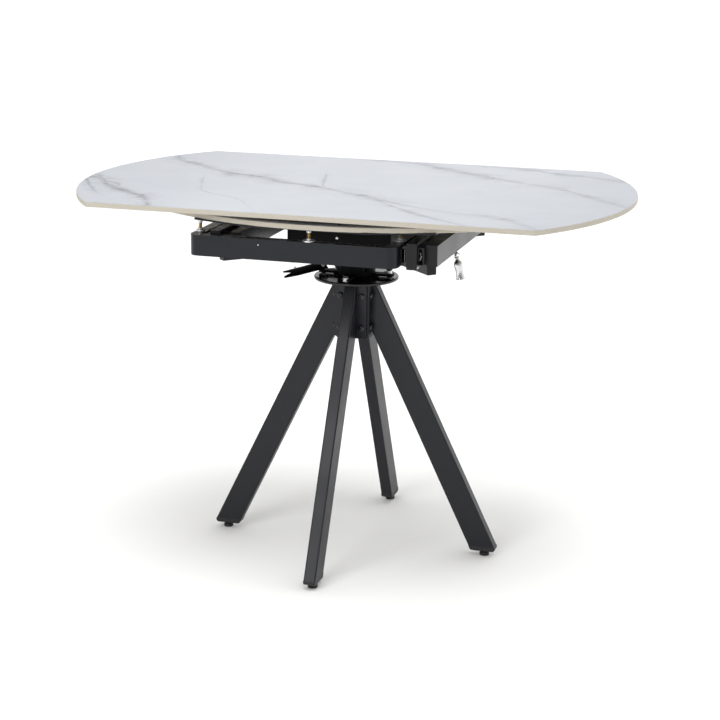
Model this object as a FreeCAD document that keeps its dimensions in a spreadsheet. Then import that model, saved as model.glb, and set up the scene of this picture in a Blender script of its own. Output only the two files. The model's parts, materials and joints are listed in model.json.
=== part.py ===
import FreeCAD, Part
import math
import os
import Sketcher

# A round table that is put away long: the slab is a disc cut straight along two sides, and the two
# missing segments are leaves that ride under it on telescopic slides. The whole upper frame turns on a
# disc on four splayed legs. Origin on the floor under the middle of the slab, X along the straight
# sides, Z up, all in millimetres.

os.makedirs("parts", exist_ok=True)
doc = FreeCAD.newDocument("RotatingTable")

drivingSizes = {
    # slab and leaves
    "tableHeight": 760,
    "topDiameter": 1126,
    "leafDepth": 209,
    "topThickness": 10,
    "edgeRound": 1.2,
    "leafThickness": 10,
    "leafGap": 10,
    "leafSetback": 14,
    "leafJoint": 1,
    # steel plate under each leaf
    "leafPlateThickness": 3,
    "leafPlateLength": 480,
    "leafPlateNose": 230,
    "leafPlateNoseSetback": 10,
    "leafPlateShoulder": 38,
    "leafPlateDepth": 140,
    "leafPlateRound": 6,
    # bent tube that carries a leaf
    "carrierTubeWidth": 22,
    "carrierTubeHeight": 40,
    "tubeWall": 1.5,
    "carrierSetback": 15,
    "carrierBack": 275,
    "carrierOuterRound": 20,
    "carrierInnerRound": 4,
    "tubeEdgeRound": 2,
    "capThickness": 1.5,
    "capPlug": 12,
    "capClearance": 0.2,
    # levelling studs between the bent tube and the leaf plate
    "studDiameter": 7,
    "studFoot": 16,
    "studArmInset": 39,
    "studShortArmInset": 71,
    "studNutDiameter": 25,
    "studNutThickness": 4.5,
    "cornerNutDiameter": 17,
    "cornerNutHeight": 8,
    "hexNutAcross": 13,
    "hexNutHeight": 6.5,
    "studPadDiameter": 13,
    "studPadThickness": 3,
    "threadClearance": 0.1,
    # rails of the turning frame
    "railSpacing": 390,
    "railWidth": 20,
    "railHeight": 50,
    "railSetback": 30,
    "frameDrop": 76,
    # telescopic slides between rails and bent tubes
    "slideWidth": 12.5,
    "slideHeight": 35,
    "slideLength": 500,
    "slideInset": 35,
    "slideOuterFlange": 10,
    "slideMiddleFlange": 9.2,
    "slideInnerFlange": 8.9,
    "slideWall": 1.2,
    "slideGap": 0.4,
    "slideWebGap": 0.6,
    # crossed arms under the rails
    "armWidth": 20,
    "armHeight": 25,
    "armOverhang": 7,
    "armStart": 24,
    "armCapThickness": 2,
    "armHubRadius": 30,
    # frame in the middle that holds the slab between the leaves
    "centreLength": 214,
    "centreClearance": 7,
    "centreWall": 3,
    "mountPlateThickness": 5,
    "mountScrewDiameter": 6,
    "mountScrewHead": 11,
    "mountScrewHeadHeight": 3,
    "mountScrewInset": 22,
    "mountScrewBite": 6,
    "mountScrewTip": 1,
    "mountPlateRound": 6,
    # turret, spindle and disc
    "turretHeight": 55.5,
    "turretDiameter": 78,
    "turretWall": 5,
    "turretFloor": 6,
    "gussetReach": 36,
    "gussetHeight": 44,
    "gussetThickness": 5,
    "lugReach": 79,
    "lugWidth": 20,
    "lugThickness": 5.5,
    "lugHoleRadius": 70,
    "lugRound": 4,
    "gussetToe": 4,
    "washerThickness": 2.5,
    "washerDiameter": 94,
    "bushWall": 3,
    "bushFlange": 1.5,
    "bushFlangeDiameter": 34,
    "spindleDiameter": 20,
    "spindleHeadDiameter": 36,
    "spindleHeadThickness": 8,
    "spindleTail": 12,
    "spindleChamfer": 1,
    "spindleNutAcross": 30,
    "spindleNutHeight": 9,
    "runningClearance": 0.05,
    "standOff": 0.3,
    "discDiameter": 174,
    "discThickness": 6,
    "indexCircle": 140,
    "indexHole": 9,
    # hub post and legs
    "postWidth": 66,
    "postHeight": 118,
    "postWall": 3,
    "postRound": 4,
    "postCapThickness": 2,
    "legPlateThickness": 4,
    "legPlateWidth": 65.5,
    "legPlateRound": 4,
    "legBoltDiameter": 8,
    "legBoltHead": 13,
    "legBoltHeadHeight": 5,
    "legBoltSpread": 45,
    "legBoltTop": 30,
    "legBoltPitch": 66,
    "legBoltGrip": 9,
    "legWidth": 50,
    "legThickness": 25,
    "legWall": 2,
    "legRound": 3,
    "legTopReach": 41,
    "legSpread": 317,
    "legPlugBottom": 11,
    "legPlugTop": 21,
    "legPlugRound": 6,
    "legPlugSpigot": 18,
    "footDiameter": 18,
    "footHeight": 8,
    "footStem": 8,
    "footStemLength": 26,
    "footNut": 12,
    # index plunger and glide screws on the turret's lugs
    "plungerSleeve": 13,
    "plungerSleeveHeight": 6,
    "plungerNeck": 10,
    "plungerPin": 7,
    "plungerKnobHeight": 5,
    "plungerTip": 1,
    "glideScrewDiameter": 6,
    "glideHead": 10,
    "glideHeadHeight": 6,
    # release lever on the left lug
    "leverPivotOut": 72,
    "leverPivotAside": 3,
    "leverPivotRise": 9.5,
    "leverLength": 92,
    "leverHeight": 14,
    "leverWidth": 12,
    "leverWall": 2,
    "leverTurn": 211,
    "leverDip": 12,
    "leverForkDepth": 16,
    "leverForkWidth": 9,
    "leverTaperLength": 30,
    "leverTipWidth": 5,
    "leverHeel": 8,
    "leverPinDiameter": 4,
    "leverPinHead": 7.5,
    "leverPinHeadHeight": 1.5,
    "leverPostThickness": 6,
    "leverPostWidth": 11,
    "leverPostRise": 5,
    "leverPostRound": 3,
    # pull handle on its ring
    "pullOffset": 19,
    "pullBack": 65,
    "pullDrop": 9,
    "pullTilt": 12,
    "pullBracketWidth": 14,
    "pullBracketThickness": 3,
    "pullEyeThickness": 2,
    "pullEyeHole": 5,
    "pullEyeRise": 4,
    "pullRing": 12,
    "pullRingWire": 2.4,
    "pullLength": 46,
    "pullNeck": 7,
    "pullShoulder": 16,
    "pullWaist": 14,
    "pullMouth": 21,
    "pullCrown": 4,
    "pullEyeBore": 4,
    "pullEyeLift": 0.5,
    "pullBore": 11,
    "pullBoreDepth": 20,
    "pullShoulderShare": 0.3,
    "pullWaistShare": 0.6,
    "pullFlareShare": 0.25,
    # overrun of every cut, and how closely an edge is matched to a size
    "overrun": 2,
    "matchTolerance": 0.001,
}


class Size:
    # a length or angle: its number, and the formula that ties it to the sheet
    def __init__(self, value, formula=None):
        self.value = float(value)
        self.formula = formula if formula is not None else repr(float(value))

    def joined(self, other, sign, value):
        return Size(value, "(%s %s %s)" % (self.formula, sign, other.formula))

    def __add__(self, other):
        other = asSize(other)
        return self.joined(other, "+", self.value + other.value)

    def __sub__(self, other):
        other = asSize(other)
        return self.joined(other, "-", self.value - other.value)

    def __mul__(self, other):
        other = asSize(other)
        return self.joined(other, "*", self.value * other.value)

    def __truediv__(self, other):
        other = asSize(other)
        return self.joined(other, "/", self.value / other.value)

    def __neg__(self):
        return Size(-self.value, "(-1 * %s)" % self.formula)

    __radd__ = __add__
    __rmul__ = __mul__

    def __rsub__(self, other):
        return asSize(other) - self


def asSize(number):
    return number if isinstance(number, Size) else Size(number)


def root(size):
    return Size(math.sqrt(size.value), "sqrt(%s)" % size.formula)


class Sizes:
    pass


sheet = doc.addObject("Spreadsheet::Sheet", "Sheet")
s = Sizes()
for row, (alias, number) in enumerate(drivingSizes.items(), 1):
    sheet.set("A%d" % row, alias)
    sheet.set("B%d" % row, str(number))
    sheet.setAlias("B%d" % row, alias)
    setattr(s, alias, Size(number, "Sheet.%s" % alias))
doc.recompute()

zero = Size(0)
pieces = []


def bind(item, path, size):
    item.setExpression(path, asSize(size).formula)


def place(item, x=zero, y=zero, z=zero):
    for axis, size in zip("xyz", (x, y, z)):
        bind(item, "Placement.Base." + axis, size)


def keep(item, label):
    item.Label = label
    pieces.append(item)
    return item


def turned(item, angle):
    # turn a finished piece about the table's axis
    item.Placement = FreeCAD.Placement(item.Placement.Base, FreeCAD.Rotation(FreeCAD.Vector(0, 0, 1), angle))
    return item


# sketch and feature helpers


def newBody(name, angle=0):
    body = doc.addObject("PartDesign::Body", name)
    return turned(body, angle)


def newSketch(body, role, offset=None):
    sketch = body.newObject("Sketcher::SketchObject", body.Name + "_outline")
    plane = [item for item in body.Origin.OriginFeatures if item.Role == role][0]
    sketch.AttachmentSupport = [(plane, "")]
    sketch.MapMode = "FlatFace"
    if offset is not None:
        bind(sketch, "AttachmentOffset.Base.z", offset)
    return sketch


def vector(x, y):
    return FreeCAD.Vector(asSize(x).value, asSize(y).value, 0)


def pin(sketch, geometry, end, x, y):
    # tie one end of a line or arc to the sketch origin
    for kind, size, axis in (("DistanceX", asSize(x), -2), ("DistanceY", asSize(y), -1)):
        if size is zero:
            sketch.addConstraint(Sketcher.Constraint("PointOnObject", geometry, end, axis))
        else:
            index = sketch.addConstraint(Sketcher.Constraint(kind, -1, 1, geometry, end, size.value))
            bind(sketch, "Constraints[%d]" % index, size)


def drawLoop(sketch, corners):
    # closed outline of straight lines through corners given as (x, y)
    first = sketch.GeometryCount
    count = len(corners)
    for index, (x, y) in enumerate(corners):
        nextX, nextY = corners[(index + 1) % count]
        sketch.addGeometry(Part.LineSegment(vector(x, y), vector(nextX, nextY)), False)
    for index, (x, y) in enumerate(corners):
        before = first + (index - 1) % count
        sketch.addConstraint(Sketcher.Constraint("Coincident", before, 2, first + index, 1))
        pin(sketch, first + index, 1, x, y)


def drawRoundLoop(sketch, corners):
    # closed outline of level and upright lines through corners given as (x, y, radius), radius zero is sharp
    count = len(corners)
    turns = []
    for index, (x, y, radius) in enumerate(corners):
        beforeX, beforeY = corners[index - 1][:2]
        afterX, afterY = corners[(index + 1) % count][:2]
        toX, toY = direction(beforeX, x), direction(beforeY, y)
        onX, onY = direction(x, afterX), direction(y, afterY)
        if radius is zero:
            turns.append(((x, y), (x, y), None, zero, 0))
            continue
        enter = (stepped(x, radius, -toX), stepped(y, radius, -toY))
        leave = (stepped(x, radius, onX), stepped(y, radius, onY))
        centre = (stepped(enter[0], radius, onX), stepped(enter[1], radius, onY))
        turns.append((enter, leave, centre, radius, toX * onY - toY * onX))
    lines = []
    for index, (enter, leave, centre, radius, turn) in enumerate(turns):
        following = turns[(index + 1) % count][0]
        lines.append(sketch.addGeometry(Part.LineSegment(vector(*leave), vector(*following)), False))
    for index, (enter, leave, centre, radius, turn) in enumerate(turns):
        before, after = lines[index - 1], lines[index]
        pin(sketch, after, 1, *leave)
        if centre is None:
            sketch.addConstraint(Sketcher.Constraint("Coincident", before, 2, after, 1))
            continue
        pin(sketch, before, 2, *enter)
        middle = vector(*centre)
        ends = (enter, leave) if turn > 0 else (leave, enter)
        begin, end = [math.atan2(asSize(y).value - middle.y, asSize(x).value - middle.x) for x, y in ends]
        circle = Part.Circle(middle, FreeCAD.Vector(0, 0, 1), radius.value)
        arc = sketch.addGeometry(Part.ArcOfCircle(circle, begin, end), False)
        arcIn, arcOut = (1, 2) if turn > 0 else (2, 1)
        sketch.addConstraint(Sketcher.Constraint("Coincident", arc, arcIn, before, 2))
        sketch.addConstraint(Sketcher.Constraint("Coincident", arc, arcOut, after, 1))
        size = sketch.addConstraint(Sketcher.Constraint("Radius", arc, radius.value))
        bind(sketch, "Constraints[%d]" % size, radius)


def stepped(start, size, way):
    # move by a size along an axis, forwards, backwards or not at all
    if way == 0:
        return start
    return start + size if way > 0 else start - size


def direction(start, end):
    gap = asSize(end).value - asSize(start).value
    return 0 if abs(gap) < s.matchTolerance.value else math.copysign(1, gap)


def drawCircle(sketch, x, y, diameter):
    radius = asSize(diameter) / 2
    index = sketch.addGeometry(Part.Circle(vector(x, y), FreeCAD.Vector(0, 0, 1), radius.value), False)
    size = sketch.addConstraint(Sketcher.Constraint("Radius", index, radius.value))
    bind(sketch, "Constraints[%d]" % size, radius)
    pin(sketch, index, 3, x, y)


def pad(body, sketch, length, middle=False, reverse=False):
    feature = body.newObject("PartDesign::Pad", body.Name + "_pad")
    feature.Profile = sketch
    bind(feature, "Length", length)
    feature.Midplane = middle
    feature.Reversed = reverse
    doc.recompute()
    return feature


def pocket(body, sketch, length, middle=False, reverse=False):
    before = body.Shape.Volume
    feature = body.newObject("PartDesign::Pocket", body.Name + "_pocket")
    feature.Profile = sketch
    bind(feature, "Length", length)
    feature.Midplane = middle
    feature.Reversed = reverse
    doc.recompute()
    if body.Shape.Volume >= before:
        raise RuntimeError("the pocket of %s cuts nothing" % body.Name)
    return feature


def revolve(body, sketch):
    feature = body.newObject("PartDesign::Revolution", body.Name + "_revolution")
    feature.Profile = sketch
    feature.ReferenceAxis = (sketch, ["V_Axis"])
    feature.Angle = 360
    doc.recompute()
    return feature


def dress(body, kind, picked, size, path):
    # fillet or chamfer of the edges that picked names
    doc.recompute()
    tip = body.Tip
    edges = ["Edge%d" % (index + 1) for index, edge in enumerate(tip.Shape.Edges) if picked(edge)]
    if not edges:
        raise RuntimeError("no edges to dress on %s" % body.Name)
    feature = body.newObject("PartDesign::" + kind, body.Name + "_" + kind.lower())
    feature.Base = (tip, edges)
    bind(feature, path, size)
    doc.recompute()
    return feature


def group(name, items):
    compound = doc.addObject("Part::Compound", name)
    compound.Links = items
    return compound


def originItem(body, role):
    return [item for item in body.Origin.OriginFeatures if item.Role == role][0]


def polar(body, features, count):
    # repeat features about the body's own upright axis
    pattern = body.newObject("PartDesign::PolarPattern", body.Name + "_pattern")
    pattern.Originals = features
    pattern.Axis = (originItem(body, "Z_Axis"), [""])
    pattern.Angle = 360
    pattern.Occurrences = count
    body.Tip = pattern
    doc.recompute()
    return pattern


def separate(body):
    # let one body hold several loose pieces of one kind
    body.AllowCompound = True
    return body


def rectangle(left, right, bottom, top, radius=zero):
    return [(left, bottom, radius), (right, bottom, radius), (right, top, radius), (left, top, radius)]


def drawHexagon(sketch, x, y, across):
    reach = asSize(across) / root(Size(3))
    half, rise = reach / 2, asSize(across) / 2
    drawLoop(sketch, [(x + reach, y), (x + half, y + rise), (x - half, y + rise), (x - reach, y),
                      (x - half, y - rise), (x + half, y - rise)])


# levels, from the slab down to the floor

topRadius = s.topDiameter / 2
halfWidth = topRadius - s.leafDepth
topUnderside = s.tableHeight - s.topThickness
leafTop = topUnderside - s.leafGap
leafUnderside = leafTop - s.leafThickness
plateUnderside = leafUnderside - s.leafPlateThickness
leafTravel = s.leafDepth + s.leafSetback
leafChord = halfWidth + s.leafJoint
leafBack = leafTravel - leafChord
frameMid = s.tableHeight - s.frameDrop
carrierTop = frameMid + s.carrierTubeHeight / 2
carrierUnderside = frameMid - s.carrierTubeHeight / 2
railTop = frameMid + s.railHeight / 2
railUnderside = frameMid - s.railHeight / 2
armUnderside = railUnderside - s.armHeight
mountPlateUnderside = topUnderside - s.mountPlateThickness
turretTop = armUnderside
turretUnderside = turretTop - s.turretHeight
discTop = turretUnderside - s.washerThickness
discUnderside = discTop - s.discThickness
lugTop = turretUnderside + s.lugThickness

railCentre = s.railSpacing / 2
railInner = railCentre - s.railWidth / 2
railOuter = railCentre + s.railWidth / 2
longArmInner = railOuter + s.slideWidth
longArmOuter = longArmInner + s.carrierTubeWidth
shortArmOuter = railInner - s.slideWidth
shortArmInner = shortArmOuter - s.carrierTubeWidth
armReach = (railOuter + s.armOverhang) * root(Size(2))
centreHalfLength = s.centreLength / 2
centreHalfWidth = -leafBack - s.centreClearance
carrierFront = topRadius - leafTravel - s.carrierSetback
halfRailLength = carrierFront - s.railSetback

# slab between the leaves

mainTop = keep(newBody("main_top"), "main_top")
sketch = newSketch(mainTop, "XY_Plane", topUnderside)
topCorner = root(topRadius * topRadius - halfWidth * halfWidth)
cornerAngle = math.atan2(halfWidth.value, topCorner.value)
rim = Part.Circle(vector(zero, zero), FreeCAD.Vector(0, 0, 1), topRadius.value)
sketch.addGeometry(Part.ArcOfCircle(rim, -cornerAngle, cornerAngle), False)
sketch.addGeometry(Part.LineSegment(vector(topCorner, halfWidth), vector(-topCorner, halfWidth)), False)
sketch.addGeometry(Part.ArcOfCircle(rim, math.pi - cornerAngle, math.pi + cornerAngle), False)
sketch.addGeometry(Part.LineSegment(vector(-topCorner, -halfWidth), vector(topCorner, -halfWidth)), False)
for index in range(4):
    sketch.addConstraint(Sketcher.Constraint("Coincident", index, 2, (index + 1) % 4, 1))
for index, side in ((1, halfWidth), (3, -halfWidth)):
    sketch.addConstraint(Sketcher.Constraint("Horizontal", index))
    size = sketch.addConstraint(Sketcher.Constraint("DistanceY", -1, 1, index, 1, side.value))
    bind(sketch, "Constraints[%d]" % size, side)
for index in (0, 2):
    sketch.addConstraint(Sketcher.Constraint("Coincident", index, 3, -1, 1))
    size = sketch.addConstraint(Sketcher.Constraint("Radius", index, topRadius.value))
    bind(sketch, "Constraints[%d]" % size, topRadius)
pad(mainTop, sketch, s.topThickness)


def level(edge):
    return edge.BoundBox.ZLength < s.matchTolerance.value


dress(mainTop, "Fillet", level, s.edgeRound, "Radius")

# blind holes for the screws that hold the slab, and where those screws stand

screwAcross = centreHalfLength - s.mountScrewInset
screwAlong = centreHalfWidth - s.mountScrewInset
screwPlaces = [(x, y) for x in (-screwAcross, zero, screwAcross) for y in (-screwAlong, screwAlong)]
sketch = newSketch(mainTop, "XY_Plane", topUnderside)
for x, y in screwPlaces:
    drawCircle(sketch, x, y, s.mountScrewDiameter)
pocket(mainTop, sketch, s.mountScrewBite + s.mountScrewTip, reverse=True)

mountPlate = keep(newBody("top_mount_plate"), "top_mount_plate")
sketch = newSketch(mountPlate, "XY_Plane", mountPlateUnderside)
drawRoundLoop(sketch, rectangle(-centreHalfLength, centreHalfLength, -centreHalfWidth, centreHalfWidth,
                                s.mountPlateRound))
pad(mountPlate, sketch, s.mountPlateThickness)
sketch = newSketch(mountPlate, "XY_Plane", mountPlateUnderside)
for x, y in screwPlaces:
    drawCircle(sketch, x, y, s.mountScrewDiameter)
pocket(mountPlate, sketch, s.mountPlateThickness + s.overrun, reverse=True)

mountScrews = separate(keep(newBody("mount_screws"), "mount_screws"))
sketch = newSketch(mountScrews, "XY_Plane", mountPlateUnderside)
for x, y in screwPlaces:
    drawCircle(sketch, x, y, s.mountScrewHead)
pad(mountScrews, sketch, s.mountScrewHeadHeight, reverse=True)
sketch = newSketch(mountScrews, "XY_Plane", mountPlateUnderside)
for x, y in screwPlaces:
    drawCircle(sketch, x, y, s.mountScrewDiameter)
pad(mountScrews, sketch, s.mountPlateThickness + s.mountScrewBite)

# four upright plates that carry the mounting plate

wallBottom, wallTop = railUnderside, mountPlateUnderside
for side, sign in (("right", 1), ("left", -1)):
    wall = keep(newBody("centre_wall_" + side), "centre_wall_" + side)
    sketch = newSketch(wall, "YZ_Plane", centreHalfLength - s.centreWall if sign > 0 else -centreHalfLength)
    innerHalf = centreHalfWidth - s.centreWall
    drawRoundLoop(sketch, rectangle(-innerHalf, innerHalf, wallBottom, wallTop))
    pad(wall, sketch, s.centreWall)
for side, sign in (("front", 1), ("back", -1)):
    wall = keep(newBody("centre_wall_" + side), "centre_wall_" + side)
    sketch = newSketch(wall, "XZ_Plane", centreHalfWidth - s.centreWall if sign > 0 else -centreHalfWidth)
    drawRoundLoop(sketch, rectangle(-centreHalfLength, centreHalfLength, wallBottom, wallTop))
    pad(wall, sketch, s.centreWall)

# fixed rails, their end caps and the crossed arms under them

for side, centre in (("left", -railCentre), ("right", railCentre)):
    rail = keep(newBody("rail_" + side), "rail_" + side)
    sketch = newSketch(rail, "XZ_Plane")
    halfRail = s.railWidth / 2
    drawRoundLoop(sketch, rectangle(centre - halfRail, centre + halfRail, railUnderside, railTop, s.tubeEdgeRound))
    hollow = halfRail - s.tubeWall
    drawRoundLoop(sketch, rectangle(centre - hollow, centre + hollow, railUnderside + s.tubeWall,
                                    railTop - s.tubeWall))
    pad(rail, sketch, 2 * halfRailLength, middle=True)

railCaps = separate(keep(newBody("rail_caps"), "rail_caps"))
capFeatures = []
for thickness, inset, reverse in ((s.capThickness, zero, False), (s.capPlug, s.tubeWall + s.capClearance, True)):
    sketch = newSketch(railCaps, "XZ_Plane", halfRailLength)
    for centre in (-railCentre, railCentre):
        halfCap = s.railWidth / 2 - inset
        drawRoundLoop(sketch, rectangle(centre - halfCap, centre + halfCap, railUnderside + inset, railTop - inset,
                                        s.tubeEdgeRound if inset is zero else zero))
    capFeatures.append(pad(railCaps, sketch, thickness, reverse=reverse))
polar(railCaps, capFeatures, 2)

armNames = ("back_right", "back_left", "front_left", "front_right")
halfArm = s.armWidth / 2
for turn, name in enumerate(armNames):
    arm = keep(newBody("cross_arm_" + name, 45 + 90 * turn), "cross_arm_" + name)
    sketch = newSketch(arm, "YZ_Plane", s.armStart)
    drawRoundLoop(sketch, rectangle(-halfArm, halfArm, armUnderside, railUnderside, s.tubeEdgeRound))
    hollow = halfArm - s.tubeWall
    drawRoundLoop(sketch, rectangle(-hollow, hollow, armUnderside + s.tubeWall, railUnderside - s.tubeWall))
    pad(arm, sketch, armReach - s.armStart)

armCaps = separate(keep(newBody("arm_caps", 45), "arm_caps"))
capFeatures = []
for thickness, inset, reverse in ((s.armCapThickness, zero, False), (s.capPlug, s.tubeWall + s.capClearance, True)):
    sketch = newSketch(armCaps, "YZ_Plane", armReach)
    halfCap = halfArm - inset
    drawRoundLoop(sketch, rectangle(-halfCap, halfCap, armUnderside + inset, railUnderside - inset,
                                    s.tubeEdgeRound if inset is zero else zero))
    capFeatures.append(pad(armCaps, sketch, thickness, reverse=reverse))
polar(armCaps, capFeatures, 4)

# turret: a hollow column with a floor, four lugs at its foot and four ribs under the arms

turret = keep(newBody("turret"), "turret")
sketch = newSketch(turret, "XZ_Plane")
boreRadius = s.spindleDiameter / 2 + s.runningClearance + s.bushWall
outerRadius = s.turretDiameter / 2
innerRadius = outerRadius - s.turretWall
drawLoop(sketch, [
    (boreRadius, turretUnderside), (outerRadius, turretUnderside), (outerRadius, turretTop), (boreRadius, turretTop),
    (boreRadius, turretTop - s.turretFloor), (innerRadius, turretTop - s.turretFloor),
    (innerRadius, turretUnderside + s.turretFloor), (boreRadius, turretUnderside + s.turretFloor)])
revolve(turret, sketch)
sketch = newSketch(turret, "XY_Plane", turretUnderside)
halfLug = s.lugWidth / 2
drawRoundLoop(sketch, [(innerRadius, -halfLug, zero), (s.lugReach, -halfLug, s.lugRound),
                       (s.lugReach, halfLug, s.lugRound), (innerRadius, halfLug, zero)])
polar(turret, [pad(turret, sketch, s.lugThickness)], 4)
sketch = newSketch(turret, "XY_Plane", turretUnderside)
drawCircle(sketch, s.lugHoleRadius, zero, s.plungerNeck)
drawCircle(sketch, zero, -s.lugHoleRadius, s.glideScrewDiameter)
drawCircle(sketch, zero, s.lugHoleRadius, s.glideScrewDiameter)
pocket(turret, sketch, s.lugThickness + s.overrun, reverse=True)

ribs = separate(keep(newBody("turret_ribs", 45), "turret_ribs"))
sketch = newSketch(ribs, "XZ_Plane")
drawLoop(sketch, [(outerRadius, turretTop - s.gussetHeight), (outerRadius + s.gussetToe, turretTop - s.gussetHeight),
                  (outerRadius + s.gussetReach, turretTop - s.gussetToe), (outerRadius + s.gussetReach, turretTop),
                  (outerRadius, turretTop)])
polar(ribs, [pad(ribs, sketch, s.gussetThickness, middle=True)], 4)

washer = keep(newBody("thrust_washer"), "thrust_washer")
sketch = newSketch(washer, "XY_Plane", discTop)
drawCircle(sketch, zero, zero, s.washerDiameter)
drawCircle(sketch, zero, zero, s.spindleDiameter + 2 * s.threadClearance)
pad(washer, sketch, s.washerThickness)

bushes = separate(keep(newBody("spindle_bushes"), "spindle_bushes"))
sketch = newSketch(bushes, "XZ_Plane")
shaftRadius = s.spindleDiameter / 2 + s.runningClearance
flangeRadius = s.bushFlangeDiameter / 2
drawLoop(sketch, [(shaftRadius, turretUnderside), (boreRadius, turretUnderside),
                  (boreRadius, turretUnderside + s.turretFloor), (shaftRadius, turretUnderside + s.turretFloor)])
drawLoop(sketch, [(shaftRadius, turretTop - s.turretFloor), (boreRadius, turretTop - s.turretFloor),
                  (boreRadius, turretTop), (flangeRadius, turretTop), (flangeRadius, turretTop + s.bushFlange),
                  (shaftRadius, turretTop + s.bushFlange)])
revolve(bushes, sketch)

glideScrews = separate(keep(newBody("glide_screws"), "glide_screws"))
sketch = newSketch(glideScrews, "XY_Plane", lugTop)
drawHexagon(sketch, zero, -s.lugHoleRadius, s.glideHead)
head = pad(glideScrews, sketch, s.glideHeadHeight)
sketch = newSketch(glideScrews, "XY_Plane", lugTop)
drawCircle(sketch, zero, -s.lugHoleRadius, s.glideScrewDiameter)
shank = pad(glideScrews, sketch, lugTop - discTop - s.standOff, reverse=True)
polar(glideScrews, [head, shank], 2)

sleeve = keep(newBody("plunger_sleeve"), "plunger_sleeve")
sketch = newSketch(sleeve, "XZ_Plane")
pinBore = s.plungerPin / 2 + s.runningClearance
drawLoop(sketch, [(pinBore, turretUnderside), (s.plungerNeck / 2, turretUnderside), (s.plungerNeck / 2, lugTop),
                  (s.plungerSleeve / 2, lugTop), (s.plungerSleeve / 2, lugTop + s.plungerSleeveHeight),
                  (pinBore, lugTop + s.plungerSleeveHeight)])
revolve(sleeve, sketch)
place(sleeve, x=s.lugHoleRadius)

plunger = keep(newBody("index_plunger"), "index_plunger")
sketch = newSketch(plunger, "XZ_Plane")
knobBottom = lugTop + s.plungerSleeveHeight + s.standOff
pinTip = discTop + s.standOff
drawLoop(sketch, [(zero, pinTip), (s.plungerPin / 2 - s.plungerTip, pinTip),
                  (s.plungerPin / 2, pinTip + s.plungerTip), (s.plungerPin / 2, knobBottom),
                  (s.plungerSleeve / 2, knobBottom), (s.plungerSleeve / 2, knobBottom + s.plungerKnobHeight),
                  (zero, knobBottom + s.plungerKnobHeight)])
revolve(plunger, sketch)
place(plunger, x=s.lugHoleRadius)

# disc, spindle and hub post

disc = keep(newBody("base_disc"), "base_disc")
sketch = newSketch(disc, "XY_Plane", discUnderside)
drawCircle(sketch, zero, zero, s.discDiameter)
drawCircle(sketch, zero, zero, s.spindleDiameter)
pad(disc, sketch, s.discThickness)
sketch = newSketch(disc, "XY_Plane", discTop)
drawCircle(sketch, s.indexCircle / 2, zero, s.indexHole)
indexHole = pocket(disc, sketch, s.discThickness + s.overrun)
polar(disc, [indexHole], 8)


def rimEdge(edge):
    return level(edge) and edge.BoundBox.XLength > s.discDiameter.value - s.matchTolerance.value


dress(disc, "Chamfer", rimEdge, s.edgeRound, "Size")

spindle = keep(newBody("spindle"), "spindle")
sketch = newSketch(spindle, "XZ_Plane")
nutBottom = turretTop + s.bushFlange + s.standOff
nutTop = nutBottom + s.spindleNutHeight
spindleTop = nutTop + s.spindleTail
shaft = s.spindleDiameter / 2
drawLoop(sketch, [(zero, discUnderside - s.spindleHeadThickness),
                  (s.spindleHeadDiameter / 2, discUnderside - s.spindleHeadThickness),
                  (s.spindleHeadDiameter / 2, discUnderside), (shaft, discUnderside),
                  (shaft, spindleTop - s.spindleChamfer), (shaft - s.spindleChamfer, spindleTop), (zero, spindleTop)])
revolve(spindle, sketch)

nut = keep(newBody("spindle_nut"), "spindle_nut")
sketch = newSketch(nut, "XY_Plane", nutBottom)
drawHexagon(sketch, zero, zero, s.spindleNutAcross)
drawCircle(sketch, zero, zero, s.spindleDiameter)
pad(nut, sketch, s.spindleNutHeight)

post = keep(newBody("hub_post"), "hub_post")
postBottom = discUnderside - s.postHeight
halfPost = s.postWidth / 2
hollow = halfPost - s.postWall
sketch = newSketch(post, "XY_Plane", postBottom)
drawRoundLoop(sketch, rectangle(-halfPost, halfPost, -halfPost, halfPost, s.postRound))
drawRoundLoop(sketch, rectangle(-hollow, hollow, -hollow, hollow, s.postWall / 2))
pad(post, sketch, s.postHeight)
boltSide = s.legBoltSpread / 2
boltHigh = discUnderside - s.legBoltTop
boltLow = boltHigh - s.legBoltPitch
boltPlaces = [(side, z) for side in (-boltSide, boltSide) for z in (boltLow, boltHigh)]
for role in ("YZ_Plane", "XZ_Plane"):
    sketch = newSketch(post, role)
    for side, z in boltPlaces:
        drawCircle(sketch, side, z, s.legBoltDiameter)
    pocket(post, sketch, s.postWidth + s.overrun, middle=True)

postCap = keep(newBody("post_cap"), "post_cap")
for thickness, inset, reverse in ((s.postCapThickness, zero, True), (s.capPlug, s.postWall + s.capClearance, False)):
    sketch = newSketch(postCap, "XY_Plane", postBottom)
    halfCap = halfPost - inset
    drawRoundLoop(sketch, rectangle(-halfCap, halfCap, -halfCap, halfCap,
                                    s.postRound if inset is zero else s.postWall / 2))
    pad(postCap, sketch, thickness, reverse=reverse)

# legs: a slanted tube welded to an end plate, a plug and a levelling foot at the floor

legSlope = (s.legSpread - s.legTopReach) / discUnderside
legStretch = root(1 + legSlope * legSlope)
legAcross = s.legWidth * legStretch
wallAcross = s.legWall * legStretch
plateFace = halfPost + s.legPlateThickness


def legOuter(z):
    return s.legSpread - z * legSlope


def legInner(z):
    return legOuter(z) - legAcross


def heightWhere(reach, start):
    # height at which a slanted line that starts at start on the floor is reach from the axis
    return (start - reach) / legSlope


legEnd = s.legPlugTop
innerStart = s.legSpread - legAcross
legNames = ("right", "back", "left", "front")


def slanted(edge):
    return min(edge.BoundBox.XLength, edge.BoundBox.ZLength) > s.postWidth.value


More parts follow.
